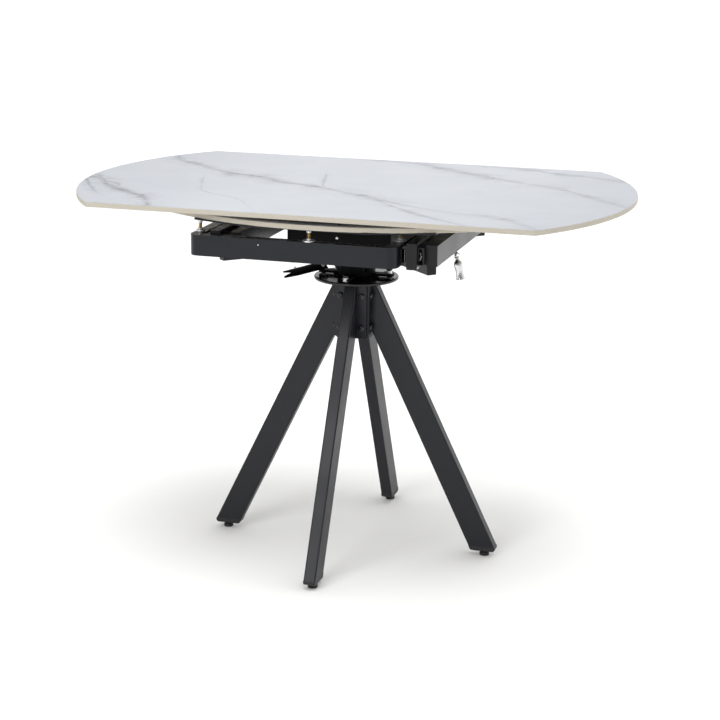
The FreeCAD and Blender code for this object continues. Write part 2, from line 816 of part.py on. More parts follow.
for turn, name in enumerate(legNames):
    leg = keep(newBody("leg_" + name, 90 * turn), "leg_" + name)
    sketch = newSketch(leg, "XZ_Plane")
    drawLoop(sketch, [(plateFace, heightWhere(plateFace, innerStart)), (legInner(legEnd), legEnd),
                      (legOuter(legEnd), legEnd), (legOuter(discUnderside), discUnderside),
                      (plateFace, discUnderside)])
    pad(leg, sketch, s.legThickness, middle=True)
    dress(leg, "Fillet", slanted, s.legRound, "Radius")
    sketch = newSketch(leg, "XZ_Plane")
    outerStart = s.legSpread - wallAcross
    bottom = legEnd - s.overrun
    drawLoop(sketch, [(plateFace, heightWhere(plateFace, innerStart + wallAcross)),
                      (legInner(bottom) + wallAcross, bottom), (legOuter(bottom) - wallAcross, bottom),
                      (plateFace, heightWhere(plateFace, outerStart))])
    pocket(leg, sketch, s.legThickness - 2 * s.legWall, middle=True)
    sketch = newSketch(leg, "YZ_Plane", halfPost)
    halfPlate = s.legPlateWidth / 2
    drawRoundLoop(sketch, rectangle(-halfPlate, halfPlate, postBottom, discUnderside, s.legPlateRound))
    for side, z in boltPlaces:
        drawCircle(sketch, side, z, s.legBoltDiameter)
    pad(leg, sketch, s.legPlateThickness)

bolts = separate(keep(newBody("leg_bolts"), "leg_bolts"))
sketch = newSketch(bolts, "YZ_Plane", plateFace)
for side, z in boltPlaces:
    drawHexagon(sketch, side, z, s.legBoltHead)
heads = pad(bolts, sketch, s.legBoltHeadHeight)
sketch = newSketch(bolts, "YZ_Plane", plateFace)
for side, z in boltPlaces:
    drawCircle(sketch, side, z, s.legBoltDiameter)
shanks = pad(bolts, sketch, s.legBoltGrip, reverse=True)
polar(bolts, [heads, shanks], 4)

plugs = separate(keep(newBody("leg_plugs"), "leg_plugs"))
sketch = newSketch(plugs, "XZ_Plane")
drawLoop(sketch, [(legInner(s.legPlugBottom), s.legPlugBottom), (legOuter(s.legPlugBottom), s.legPlugBottom),
                  (legOuter(legEnd), legEnd), (legInner(legEnd), legEnd)])
plugBlock = pad(plugs, sketch, s.legThickness, middle=True)


def plugCorner(edge):
    box = edge.BoundBox
    across = box.YLength > s.legThickness.value - s.matchTolerance.value
    return across and box.ZMax < s.legPlugBottom.value + s.matchTolerance.value


plugRound = dress(plugs, "Fillet", plugCorner, s.legPlugRound, "Radius")
sketch = newSketch(plugs, "XZ_Plane")
spigotTop = legEnd + s.legPlugSpigot
inset = wallAcross + s.capClearance
drawLoop(sketch, [(legInner(legEnd) + inset, legEnd), (legOuter(legEnd) - inset, legEnd),
                  (legOuter(spigotTop) - inset, spigotTop), (legInner(spigotTop) + inset, spigotTop)])
spigot = pad(plugs, sketch, s.legThickness - 2 * (s.legWall + s.capClearance), middle=True)
footReach = (legInner(s.legPlugBottom) + legOuter(s.legPlugBottom)) / 2
sketch = newSketch(plugs, "XY_Plane", s.legPlugBottom)
drawCircle(sketch, footReach, zero, s.footStem)
stemTop = s.legPlugBottom + s.footStemLength
bore = pocket(plugs, sketch, s.footStemLength, reverse=True)
polar(plugs, [plugBlock, plugRound, spigot, bore], 4)

feet = separate(keep(newBody("levelling_feet"), "levelling_feet"))
footFeatures = []
for diameter, bottom, height in ((s.footDiameter, zero, s.footHeight),
                                 (s.footNut, s.footHeight, s.legPlugBottom - s.footHeight),
                                 (s.footStem, s.legPlugBottom, s.footStemLength)):
    sketch = newSketch(feet, "XY_Plane", bottom)
    drawCircle(sketch, footReach, zero, diameter)
    footFeatures.append(pad(feet, sketch, height))
polar(feet, footFeatures, 4)

# leaves: each with its plate, its bent tube and its half of the slides; the back set is the front one turned

capInset = s.tubeWall + s.capClearance
slideFront = carrierFront - s.slideInset
studPlaces = [(-(longArmOuter - s.carrierTubeWidth / 2), -(carrierFront - s.studArmInset)),
              (zero, -(carrierFront - s.carrierTubeWidth / 2)),
              (shortArmOuter - s.carrierTubeWidth / 2, -(carrierFront - s.studShortArmInset))]


def raised(corners):
    return [(x, z + frameMid) for x, z in corners]


for side, angle in (("front", 0), ("back", 180)):
    leaf = keep(newBody(side + "_leaf", angle), side + "_leaf")
    sketch = newSketch(leaf, "XY_Plane", leafUnderside)
    halfChord = root(topRadius * topRadius - leafChord * leafChord)
    swing = math.atan2(leafChord.value, halfChord.value)
    rim = Part.Circle(vector(zero, leafTravel), FreeCAD.Vector(0, 0, 1), topRadius.value)
    sketch.addGeometry(Part.ArcOfCircle(rim, math.pi + swing, 2 * math.pi - swing), False)
    sketch.addGeometry(Part.LineSegment(vector(halfChord, leafBack), vector(-halfChord, leafBack)), False)
    sketch.addConstraint(Sketcher.Constraint("Coincident", 0, 2, 1, 1))
    sketch.addConstraint(Sketcher.Constraint("Coincident", 1, 2, 0, 1))
    sketch.addConstraint(Sketcher.Constraint("Horizontal", 1))
    sketch.addConstraint(Sketcher.Constraint("PointOnObject", 0, 3, -2))
    for kind, index, end, size in (("DistanceY", 0, 3, leafTravel), ("DistanceY", 1, 1, leafBack)):
        constraint = sketch.addConstraint(Sketcher.Constraint(kind, -1, 1, index, end, size.value))
        bind(sketch, "Constraints[%d]" % constraint, size)
    constraint = sketch.addConstraint(Sketcher.Constraint("Radius", 0, topRadius.value))
    bind(sketch, "Constraints[%d]" % constraint, topRadius)
    pad(leaf, sketch, s.leafThickness)
    dress(leaf, "Fillet", level, s.edgeRound, "Radius")

    plate = keep(newBody(side + "_leaf_plate", angle), side + "_leaf_plate")
    sketch = newSketch(plate, "XY_Plane", plateUnderside)
    noseLine = -(topRadius - leafTravel - s.leafPlateNoseSetback)
    shoulderLine = noseLine + s.leafPlateShoulder
    backLine = noseLine + s.leafPlateDepth
    halfPlate, halfNose = s.leafPlateLength / 2, s.leafPlateNose / 2
    drawLoop(sketch, [(-halfNose, noseLine), (halfNose, noseLine), (halfPlate, shoulderLine), (halfPlate, backLine),
                      (-halfPlate, backLine), (-halfPlate, shoulderLine)])
    pad(plate, sketch, s.leafPlateThickness)
    dress(plate, "Fillet", lambda edge: not level(edge), s.leafPlateRound, "Radius")

    frame = keep(newBody(side + "_u_tube", angle), side + "_u_tube")
    for inset, bottom, height in ((zero, carrierUnderside, s.carrierTubeHeight),
                                  (s.tubeWall, carrierUnderside + s.tubeWall, s.carrierTubeHeight - 2 * s.tubeWall)):
        sketch = newSketch(frame, "XY_Plane", bottom)
        outerRound, innerRound = s.carrierOuterRound - inset, s.carrierInnerRound + inset
        end = s.carrierBack if inset is zero else s.carrierBack + s.overrun
        innerFront = -(carrierFront - s.carrierTubeWidth) - inset
        drawRoundLoop(sketch, [
            (-longArmOuter + inset, -carrierFront + inset, outerRound),
            (shortArmOuter - inset, -carrierFront + inset, outerRound),
            (shortArmOuter - inset, end, zero), (shortArmInner + inset, end, zero),
            (shortArmInner + inset, innerFront, innerRound), (-longArmInner - inset, innerFront, innerRound),
            (-longArmInner - inset, end, zero), (-longArmOuter + inset, end, zero)])
        if inset is zero:
            pad(frame, sketch, height)
        else:
            pocket(frame, sketch, height, reverse=True)
    sketch = newSketch(frame, "XY_Plane", carrierTop)
    for x, y in studPlaces:
        drawCircle(sketch, x, y, s.studDiameter)
    pocket(frame, sketch, s.tubeWall + s.overrun)

    caps = separate(keep(newBody(side + "_u_caps", angle), side + "_u_caps"))
    for thickness, inset, reverse in ((s.capThickness, zero, True), (s.capPlug, capInset, False)):
        sketch = newSketch(caps, "XZ_Plane", -s.carrierBack)
        for left, right in ((-longArmOuter, -longArmInner), (shortArmInner, shortArmOuter)):
            drawRoundLoop(sketch, rectangle(left + inset, right - inset, carrierUnderside + inset, carrierTop - inset,
                                            s.tubeEdgeRound if inset is zero else zero))
        pad(caps, sketch, thickness, reverse=reverse)

    studs = separate(keep(newBody(side + "_leaf_studs", angle), side + "_leaf_studs"))
    padBottom = plateUnderside - s.studPadThickness
    for diameter, bottom, height in ((s.studDiameter, carrierTop - s.studFoot, padBottom - carrierTop + s.studFoot),
                                     (s.studPadDiameter, padBottom, s.studPadThickness)):
        sketch = newSketch(studs, "XY_Plane", bottom)
        for x, y in studPlaces:
            drawCircle(sketch, x, y, diameter)
        pad(studs, sketch, height)

    nuts = separate(keep(newBody(side + "_stud_nuts", angle), side + "_stud_nuts"))
    sketch = newSketch(nuts, "XY_Plane", carrierTop)
    for x, y in studPlaces[1:]:
        drawCircle(sketch, x, y, s.studNutDiameter)
        drawCircle(sketch, x, y, s.studDiameter)
    pad(nuts, sketch, s.studNutThickness)
    sketch = newSketch(nuts, "XY_Plane", carrierTop)
    drawCircle(sketch, *studPlaces[0], s.cornerNutDiameter)
    drawCircle(sketch, *studPlaces[0], s.studDiameter)
    pad(nuts, sketch, s.cornerNutHeight)

    # telescopic slides: a channel on the rail, one that goes half way, and one on the bent tube
    members = (
        ("outers", zero, s.slideOuterFlange, s.slideHeight / 2),
        ("middles", s.slideWall + s.slideWebGap, s.slideMiddleFlange, s.slideHeight / 2 - s.slideWall - s.slideGap),
        ("inners", s.slideWidth, -s.slideInnerFlange, s.slideHeight / 2 - 2 * (s.slideWall + s.slideGap)),
    )
    for kind, web, flange, half in members:
        slide = separate(keep(newBody(side + "_slide_" + kind, angle), side + "_slide_" + kind))
        sketch = newSketch(slide, "XZ_Plane", slideFront - s.slideLength)
        for face in (-railOuter, railInner):
            way = -1 if flange.value > 0 else 1
            thickness = s.slideWall
            reach = flange if flange.value > 0 else -flange
            corners = [(face - web + way * across, up) for across, up in (
                (zero, -half), (reach, -half), (reach, -half + thickness), (thickness, -half + thickness),
                (thickness, half - thickness), (reach, half - thickness), (reach, half), (zero, half))]
            drawLoop(sketch, raised(corners))
        pad(slide, sketch, s.slideLength)

# release lever on the left lug: a channel on its side, forked at the tip, on a pin through a post

leverPlace = FreeCAD.Vector(0, 0, 0)
leverYaw = FreeCAD.Rotation(s.leverTurn.value, 0, 0)
leverPose = FreeCAD.Rotation(s.leverTurn.value, s.leverDip.value, 0)
pivot = (-s.leverPivotOut, -s.leverPivotAside, lugTop + s.leverPivotRise)
halfLever = s.leverHeight / 2
leverTip = s.leverLength - s.leverHeel

leverPost = keep(newBody("lever_post"), "lever_post")
sketch = newSketch(leverPost, "XZ_Plane", s.standOff)
halfPostWidth = s.leverPostWidth / 2
drawRoundLoop(sketch, [
    (-halfPostWidth, -s.leverPivotRise, zero), (halfPostWidth, -s.leverPivotRise, zero),
    (halfPostWidth, s.leverPostRise, s.leverPostRound), (-halfPostWidth, s.leverPostRise, s.leverPostRound)])
drawCircle(sketch, zero, zero, s.leverPinDiameter)
pad(leverPost, sketch, s.leverPostThickness)
leverPost.Placement = FreeCAD.Placement(leverPlace, leverYaw)
place(leverPost, *pivot)

lever = keep(newBody("lock_lever"), "lock_lever")
sketch = newSketch(lever, "YZ_Plane", -s.leverHeel)
flange = halfLever - s.leverWall
drawLoop(sketch, [
    (zero, -halfLever), (s.leverWidth, -halfLever), (s.leverWidth, -flange), (s.leverWall, -flange),
    (s.leverWall, flange), (s.leverWidth, flange), (s.leverWidth, halfLever), (zero, halfLever)])
pad(lever, sketch, s.leverLength)
sketch = newSketch(lever, "XZ_Plane")
halfFork = s.leverForkWidth / 2
drawLoop(sketch, [(leverTip - s.leverForkDepth, zero), (leverTip + s.overrun, -halfFork),
                  (leverTip + s.overrun, halfFork)])
drawCircle(sketch, zero, zero, s.leverPinDiameter)
pocket(lever, sketch, 2 * s.leverWidth, middle=True)
sketch = newSketch(lever, "XY_Plane", -halfLever)
taperStart = leverTip - s.leverTaperLength
drawLoop(sketch, [(taperStart, s.leverWidth), (leverTip, s.leverTipWidth), (leverTip + s.overrun, s.leverTipWidth),
                  (leverTip + s.overrun, s.leverWidth + s.overrun), (taperStart, s.leverWidth + s.overrun)])
pocket(lever, sketch, s.leverHeight + s.overrun, reverse=True)
lever.Placement = FreeCAD.Placement(leverPlace, leverPose)
place(lever, *pivot)

leverPin = keep(newBody("lever_pin"), "lever_pin")
pinFront = s.leverWall + s.standOff
pinBack = s.leverPostThickness + 2 * s.standOff
sketch = newSketch(leverPin, "XZ_Plane", -pinFront)
drawCircle(sketch, zero, zero, s.leverPinDiameter - 2 * s.runningClearance)
pad(leverPin, sketch, pinFront + pinBack)
for offset, outward in ((-pinFront, True), (pinBack, False)):
    sketch = newSketch(leverPin, "XZ_Plane", offset)
    drawCircle(sketch, zero, zero, s.leverPinHead)
    pad(leverPin, sketch, s.leverPinHeadHeight, reverse=outward)
leverPin.Placement = FreeCAD.Placement(leverPlace, leverYaw)
place(leverPin, *pivot)

# bracket under the right rail, the ring through its eye and the bell-shaped handle on the ring

bracket = keep(newBody("pull_bracket"), "pull_bracket")
sketch = newSketch(bracket, "XZ_Plane")
bracketTop = railUnderside
bracketUnder = bracketTop - s.pullBracketThickness
pullLevel = railUnderside - s.pullDrop
pullOut = railOuter + s.pullOffset
eyeLeft = pullOut - s.pullEyeThickness / 2
eyeRight = pullOut + s.pullEyeThickness / 2
eyeBottom = pullLevel - s.pullEyeHole / 2 - s.pullEyeRise
drawLoop(sketch, [(railInner, bracketUnder), (eyeLeft, bracketUnder), (eyeLeft, eyeBottom), (eyeRight, eyeBottom),
                  (eyeRight, bracketTop), (railInner, bracketTop)])
pad(bracket, sketch, s.pullBracketWidth, middle=True)
sketch = newSketch(bracket, "YZ_Plane", eyeLeft - s.overrun)
drawCircle(sketch, zero, pullLevel, s.pullEyeHole)
pocket(bracket, sketch, s.pullEyeThickness + 2 * s.overrun, reverse=True)
place(bracket, y=-s.pullBack)

pullPose = FreeCAD.Rotation(FreeCAD.Vector(0, 1, 0), -s.pullTilt.value)
pullPlace = (pullOut, -s.pullBack, pullLevel)
ringCentre = -(s.pullRing / 2)
ring = doc.addObject("Part::Torus", "pull_ring_wire")
bind(ring, "Radius1", s.pullRing / 2)
bind(ring, "Radius2", s.pullRingWire / 2)
ring.Placement = FreeCAD.Placement(FreeCAD.Vector(0, 0, 0), FreeCAD.Rotation(FreeCAD.Vector(1, 0, 0), 90))
place(ring, z=ringCentre)
ringPiece = keep(group("pull_ring", [ring]), "pull_ring")
ringPiece.Placement = FreeCAD.Placement(FreeCAD.Vector(0, 0, 0), pullPose)
place(ringPiece, *pullPlace)

# the bell's side is one smooth curve through its neck, shoulder, waist and mouth
handle = doc.addObject("Part::Feature", "pull_handle")
eyeDrop = -s.pullRing.value
bellTop = eyeDrop + s.pullCrown.value
bellBottom = bellTop - s.pullLength.value
stations = [(s.pullNeck.value / 2, bellTop), (s.pullNeck.value / 2, eyeDrop - s.pullCrown.value)]
for diameter, share in ((s.pullShoulder, s.pullShoulderShare), (s.pullWaist, s.pullWaistShare), (s.pullMouth, None)):
    drop = 1 if share is None else share.value
    stations.append((diameter.value / 2, bellTop - s.pullLength.value * drop))
curve = Part.BSplineCurve()
curve.interpolate([FreeCAD.Vector(radius, 0, z) for radius, z in stations[1:]],
                  InitialTangent=FreeCAD.Vector(0, 0, -1),
                  FinalTangent=FreeCAD.Vector(s.pullFlareShare.value, 0, -1))
boreRim = FreeCAD.Vector(s.pullBore.value / 2, 0, bellBottom)
boreTop = FreeCAD.Vector(0, 0, bellBottom + s.pullBoreDepth.value)
axisTop = FreeCAD.Vector(0, 0, bellTop)
neckTop = FreeCAD.Vector(stations[0][0], 0, bellTop)
neckEnd = FreeCAD.Vector(stations[1][0], 0, stations[1][1])
mouth = FreeCAD.Vector(stations[-1][0], 0, bellBottom)
outline = Part.Wire([Part.makeLine(axisTop, neckTop), Part.makeLine(neckTop, neckEnd), curve.toShape(),
                     Part.makeLine(mouth, boreRim), Part.makeLine(boreRim, boreTop),
                     Part.makeLine(boreTop, axisTop)])
bell = Part.Face(outline).revolve(FreeCAD.Vector(0, 0, 0), FreeCAD.Vector(0, 0, 1), 360)
eye = Part.makeCylinder(s.pullEyeBore.value / 2, s.pullMouth.value,
                        FreeCAD.Vector(-s.pullMouth.value / 2, 0, eyeDrop + s.pullEyeLift.value),
                        FreeCAD.Vector(1, 0, 0))
handle.Shape = bell.cut(eye)
handle.Placement = FreeCAD.Placement(FreeCAD.Vector(0, 0, 0), pullPose)
place(handle, *pullPlace)
keep(handle, "pull_handle")

# check everything before anything is written

doc.recompute()
problems = []
for item in doc.Objects:
    if "Invalid" in item.State or "Error" in item.State:
        problems.append(item.Name)
for piece in pieces:
    if piece.Shape.isNull() or not piece.Shape.isValid():
        problems.append(piece.Label)
if problems:
    raise RuntimeError("failed: " + ", ".join(problems))
for piece in pieces:
    piece.Shape.exportStep("parts/%s.step" % piece.Label)
    bounds = piece.Shape.BoundBox
    print("%-24s %d solid(s) %9.0f mm3  x %7.1f %7.1f  y %7.1f %7.1f  z %6.1f %6.1f" % (
        piece.Label, len(piece.Shape.Solids), piece.Shape.Volume,
        bounds.XMin, bounds.XMax, bounds.YMin, bounds.YMax, bounds.ZMin, bounds.ZMax))
print(len(pieces), "pieces")
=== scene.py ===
import bpy
import json
import math
from mathutils import Matrix, Vector

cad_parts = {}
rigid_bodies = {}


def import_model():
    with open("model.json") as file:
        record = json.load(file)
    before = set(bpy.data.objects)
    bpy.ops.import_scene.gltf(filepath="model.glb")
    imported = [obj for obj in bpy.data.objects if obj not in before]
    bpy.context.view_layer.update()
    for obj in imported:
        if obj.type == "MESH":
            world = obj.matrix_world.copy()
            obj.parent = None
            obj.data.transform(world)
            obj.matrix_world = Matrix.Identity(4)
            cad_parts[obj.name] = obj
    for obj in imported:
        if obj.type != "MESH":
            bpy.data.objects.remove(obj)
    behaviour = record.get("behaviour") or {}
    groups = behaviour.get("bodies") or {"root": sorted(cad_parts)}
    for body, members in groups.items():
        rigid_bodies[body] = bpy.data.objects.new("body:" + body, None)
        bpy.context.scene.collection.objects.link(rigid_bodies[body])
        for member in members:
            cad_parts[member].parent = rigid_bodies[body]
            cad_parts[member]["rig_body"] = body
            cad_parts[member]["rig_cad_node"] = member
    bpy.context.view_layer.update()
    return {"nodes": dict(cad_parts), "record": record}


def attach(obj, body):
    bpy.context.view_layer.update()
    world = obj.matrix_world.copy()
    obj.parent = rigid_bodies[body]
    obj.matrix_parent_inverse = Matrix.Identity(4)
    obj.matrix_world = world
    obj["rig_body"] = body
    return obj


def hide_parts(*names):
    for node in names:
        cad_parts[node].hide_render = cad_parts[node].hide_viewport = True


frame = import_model()
nodes = frame["nodes"]
bodyOf = {name: node["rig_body"] for name, node in nodes.items()}
slotOf = {part["node"]: part["material_slot"] for part in frame["record"]["subparts"]}
mm = 0.001
print("frame loaded:", len(nodes), "nodes")


# materials: sockets that add up like numbers
class Wire:
    def __init__(self, finish, socket):
        self.finish = finish
        self.socket = socket

    def maths(self, operation, *others):
        return self.finish.node("ShaderNodeMath", {"operation": operation}, dict(enumerate((self,) + others)))

    def __add__(self, other):
        return self.maths("ADD", other)

    def __sub__(self, other):
        return self.maths("SUBTRACT", other)

    def __mul__(self, other):
        return self.maths("MULTIPLY", other)

    def __truediv__(self, other):
        return self.maths("DIVIDE", other)

    def __rsub__(self, other):
        return self * -1 + other

    def __abs__(self):
        return self.maths("ABSOLUTE")

    def larger(self, other):
        return self.maths("MAXIMUM", other)

    def between(self, low, high, smooth=True):
        # 0 below low, 1 above high
        kind = "SMOOTHSTEP" if smooth else "LINEAR"
        return self.finish.node("ShaderNodeMapRange", {"interpolation_type": kind}, {
            "Value": self, "From Min": low, "From Max": high, "To Min": 0, "To Max": 1})

    __radd__ = __add__
    __rmul__ = __mul__


class Finish:
    def __init__(self, name):
        self.material = bpy.data.materials.new(name)
        self.material.use_nodes = True
        self.tree = self.material.node_tree
        self.shader = self.tree.nodes["Principled BSDF"]

    def node(self, kind, settings=None, inputs=None, output=0):
        made = self.tree.nodes.new(kind)
        for name, value in (settings or {}).items():
            if name == "points":
                curve = made.mapping.curves[0]
                while len(curve.points) < len(value):
                    curve.points.new(0.5, 0.5)
                for point, place in zip(curve.points, value):
                    point.location = place
                made.mapping.update()
            else:
                setattr(made, name, value)
        for name, value in (inputs or {}).items():
            if isinstance(value, Wire):
                self.tree.links.new(value.socket, made.inputs[name])
            else:
                made.inputs[name].default_value = value
        return Wire(self, made.outputs[output])

    def place(self):
        return self.node("ShaderNodeTexCoord", output="Object")

    def axes(self, place):
        split = self.node("ShaderNodeSeparateXYZ", inputs={0: place})
        return [Wire(self, split.socket.node.outputs[index]) for index in range(3)]

    def noise(self, place, scale, detail=3, rough=0.5):
        return self.node("ShaderNodeTexNoise", inputs={
            "Vector": place, "Scale": scale, "Detail": detail, "Roughness": rough})

    def stretched(self, place, factors):
        return self.node("ShaderNodeVectorMath", {"operation": "MULTIPLY"}, {0: place, 1: factors})

    def mix(self, share, first, second):
        colours = [value if isinstance(value, Wire) else (*value, 1) for value in (first, second)]
        return self.node("ShaderNodeMix", {"data_type": "RGBA"}, {0: share, 6: colours[0], 7: colours[1]}, output=2)

    def feed(self, **sockets):
        for name, value in sockets.items():
            socket = self.shader.inputs[name.replace("_", " ")]
            if isinstance(value, Wire):
                self.tree.links.new(value.socket, socket)
            elif isinstance(value, tuple):
                socket.default_value = (*value, 1)
            else:
                socket.default_value = value

    def bump(self, height, strength, distance):
        self.feed(Normal=self.node("ShaderNodeBump", inputs={
            "Height": height, "Strength": strength, "Distance": distance}))


# stone: pale glaze on the top face with smoky veins and painted shade that darkens it towards the slab's ends, and a
# cream body at the raw edges
stoneLook = {
    "slabTop": 0.76, "leafTop": 0.74, "leafTravel": 0.223,
    "glazeStarts": 0.0006, "glazeFull": 0.00025,  # metres under the top
    "stone": (0.41, 0.43, 0.47), "stoneDeepAndEndShade": (0.325, 0.345, 0.385), "vein": (0.075, 0.087, 0.115),
    "body": (0.47, 0.435, 0.37), "bodyDark": (0.43, 0.395, 0.33), "grainScale": 700,
    "bodyRough": 0.62, "glazeShine": 0.36, "rippleScale": 260, "ripple": 0.2, "bump": 0.12, "bumpHeight": 0.0004,
    # the last three entries paint shade on the glaze towards the slab's ends, from x in metres
    "cloudScale": 4.5, "cloud": 0.35, "paintedEndShade": 0.9, "middleHalf": 0.12, "endHalf": 0.6,
}
veinLook = {
    "slope": 30, "span": 1.4, "coarse": 0.016, "coarseScale": 7, "fine": 0.007, "fineScale": 38,
    "swellScale": 13, "swellLeast": 0.35, "haloWidth": 1.2, "halo": 0.68, "heartWidth": 0.3, "heart": 0.3,
    "smokeWidth": 3.2, "smoke": 0.5, "smokeScale": 16, "knotScale": 31, "knots": 0.75,
    "flatScale": 90, "flatLeast": 0.65, "flat": 0.5, "strength": 0.8,
}
# veins run down to the right: width, (along, offset) stations and (along, strength) stations, in metres
veins = {
    "long": (0.021, [
        (-0.7, -0.01), (-0.556, -0.027), (-0.503, -0.059), (-0.421, -0.070), (-0.292, -0.092), (-0.188, -0.074),
        (-0.147, -0.085), (-0.074, -0.072), (0.04, -0.069), (0.162, -0.080), (0.332, -0.074), (0.42, -0.047),
        (0.478, -0.059), (0.7, -0.13)], [
        (-0.7, 0.5), (-0.5, 0.65), (-0.36, 0.55), (-0.27, 0.95), (-0.17, 0.75), (0.04, 0.5), (0.2, 0.45),
        (0.3, 0.18), (0.42, 0.3), (0.7, 0.2)]),
    "fork": (0.011, [
        (-0.7, -0.07), (0.09, -0.074), (0.169, -0.093), (0.24, -0.115), (0.308, -0.134), (0.42, -0.149), (0.7, -0.2)], [
        (-0.7, 0), (0.08, 0), (0.16, 0.45), (0.3, 0.6), (0.42, 0.35), (0.7, 0.3)]),
    "upper": (0.023, [
        (-0.7, 0.2), (-0.207, 0.279), (-0.128, 0.301), (-0.056, 0.297), (0.066, 0.286), (0.182, 0.284),
        (0.296, 0.286), (0.372, 0.266), (0.435, 0.246), (0.55, 0.21), (0.7, 0.2)], [
        (-0.7, 0.3), (-0.13, 0.5), (0.06, 0.5), (0.2, 0.38), (0.36, 0.45), (0.42, 0.35), (0.7, 0.3)]),
    "corner": (0.02, [
        (-0.7, 0.36), (-0.034, 0.379), (0.1, 0.427), (0.147, 0.425), (0.237, 0.449), (0.4, 0.46), (0.7, 0.47)], [
        (-0.7, 0.2), (0, 0.3), (0.12, 0.48), (0.25, 0.4), (0.7, 0.3)]),
    "lower": (0.017, [
        (-0.7, -0.33), (-0.45, -0.341), (-0.403, -0.342), (-0.349, -0.372), (-0.297, -0.386), (-0.234, -0.395),
        (-0.168, -0.409), (-0.096, -0.454), (0.05, -0.51), (0.7, -0.6)], [
        (-0.7, 0.7), (-0.4, 0.8), (-0.28, 0.95), (-0.16, 0.6), (-0.09, 0.5), (0.7, 0.3)]),
    "longTwin": (0.008, [
        (-0.7, -0.03), (-0.33, -0.1), (-0.3, -0.107), (-0.27, -0.112), (-0.24, -0.1), (-0.2, -0.086), (0.7, -0.03)], [
        (-0.7, 0), (-0.33, 0), (-0.3, 0.6), (-0.26, 0.8), (-0.22, 0.4), (-0.18, 0), (0.7, 0)]),
    "lowerTwin": (0.012, [
        (-0.7, -0.3), (-0.5, -0.31), (-0.44, -0.322), (-0.39, -0.355), (-0.34, -0.352), (-0.27, -0.405),
        (-0.2, -0.43), (0.7, -0.6)], [
        (-0.7, 0.5), (-0.46, 0.6), (-0.38, 0.75), (-0.3, 0.35), (-0.22, 0), (0.7, 0)]),
    "splinter": (0.008, [
        (-0.7, -0.33), (-0.46, -0.35), (-0.412, -0.376), (-0.338, -0.415), (-0.26, -0.45), (0.7, -0.62)], [
        (-0.7, 0.6), (-0.42, 0.7), (-0.3, 0.45), (-0.2, 0), (0.7, 0)]),
}
# thin cracks down the slab: width, (y, x) stations and (y, strength) stations
cracks = {
    "middle": (0.006, [
        (-0.7, -0.04), (-0.06, -0.055), (0.01, -0.075), (0.11, -0.1), (0.22, -0.13), (0.7, -0.2)], [
        (-0.7, 0), (-0.08, 0), (-0.05, 0.4), (0.06, 0.5), (0.12, 0.2), (0.2, 0), (0.7, 0)]),
    "left": (0.005, [
        (-0.7, 0.1), (-0.29, -0.13), (-0.22, -0.18), (-0.16, -0.27), (-0.09, -0.3), (0.02, -0.34), (0.7, -0.5)], [
        (-0.7, 0), (-0.32, 0.08), (-0.22, 0.2), (-0.15, 0.3), (-0.05, 0.28), (0.05, 0.08), (0.12, 0), (0.7, 0)]),
}


def veinShade(finish, place, x, y):
    # how dark the veins are: a soft halo, a darker heart and smoke round each
    look = veinLook
    slope = math.radians(look["slope"])
    along = x * math.cos(slope) - y * math.sin(slope)
    across = x * math.sin(slope) + y * math.cos(slope)
    coarse = (finish.noise(place, look["coarseScale"], detail=3, rough=0.55) - 0.5) * look["coarse"]
    fine = (finish.noise(place, look["fineScale"], detail=4, rough=0.65) - 0.5) * look["fine"]
    swell = finish.noise(place, look["swellScale"], detail=3).between(0.25, 0.75) + look["swellLeast"]
    flat = finish.noise(finish.stretched(place, (1, 1, 0.2)), look["flatScale"], detail=4, rough=0.7)
    smoky = finish.noise(place, look["smokeScale"], detail=5, rough=0.6).between(0.34, 0.66) * look["smoke"]
    knots = finish.noise(place, look["knotScale"], detail=3, rough=0.5).between(0.55, 0.7) * look["knots"]

    def curve(line, stations):
        points = [(station / look["span"] + 0.5, value) for station, value in stations]
        return finish.node("ShaderNodeFloatCurve", {"points": points}, {"Value": line / look["span"] + 0.5})

    total = None
    for line, cross, group in ((along, across, veins), (y, x, cracks)):
        for width, stations, shades in group.values():
            course = [(station, value / look["span"] + 0.5) for station, value in stations]
            apart = abs(cross + coarse + fine - (curve(line, course) - 0.5) * look["span"])
            halo = 1 - (apart / (swell * (width * look["haloWidth"]))).between(0, 1)
            heart = 1 - (apart / (swell * (width * look["heartWidth"]))).between(0, 1)
            smoke = (1 - (apart / (width * look["smokeWidth"])).between(0, 1)) * smoky
            shade = (halo * look["halo"] + heart * look["heart"] + smoke) * curve(line, shades)
            total = shade if total is None else total.larger(shade)
    return total * (flat.between(0.2, 0.7) * look["flat"] + look["flatLeast"]) * (knots + 1) * look["strength"]


def stoneFinish(name, top, shift=0.0):
    # shift slides the pattern along Y, so that it runs on over the joint when a leaf is out
    look = stoneLook
    finish = Finish(name)
    place = finish.node("ShaderNodeMapping", inputs={"Vector": finish.place(), "Location": (0, shift, 0)})
    x, y, z = finish.axes(place)
    cloudsAndEndShade = finish.noise(place, look["cloudScale"], detail=5, rough=0.6).between(0.35, 0.7) * look["cloud"]
    # painted shade: the glaze is mixed towards the deep tone near the slab's ends, in place of the light falling off
    # there
    cloudsAndEndShade = cloudsAndEndShade + abs(x).between(look["middleHalf"], look["endHalf"]) * look["paintedEndShade"]
    glaze = finish.mix(cloudsAndEndShade, look["stone"], look["stoneDeepAndEndShade"])
    glaze = finish.mix(veinShade(finish, place, x, y), glaze, look["vein"])
    grains = finish.noise(place, look["grainScale"], detail=2).between(0.35, 0.65)
    body = finish.mix(grains, look["body"], look["bodyDark"])
    glazed = z.between(top - look["glazeStarts"], top - look["glazeFull"])
    finish.feed(Base_Color=finish.mix(glazed, body, glaze), IOR=1.5,
                Roughness=look["bodyRough"] - glazed * look["glazeShine"])
    ripple = finish.noise(place, look["rippleScale"], detail=2) * glazed * look["ripple"] + grains * (1 - glazed)
    finish.bump(ripple, look["bump"], look["bumpHeight"])
    return finish.material


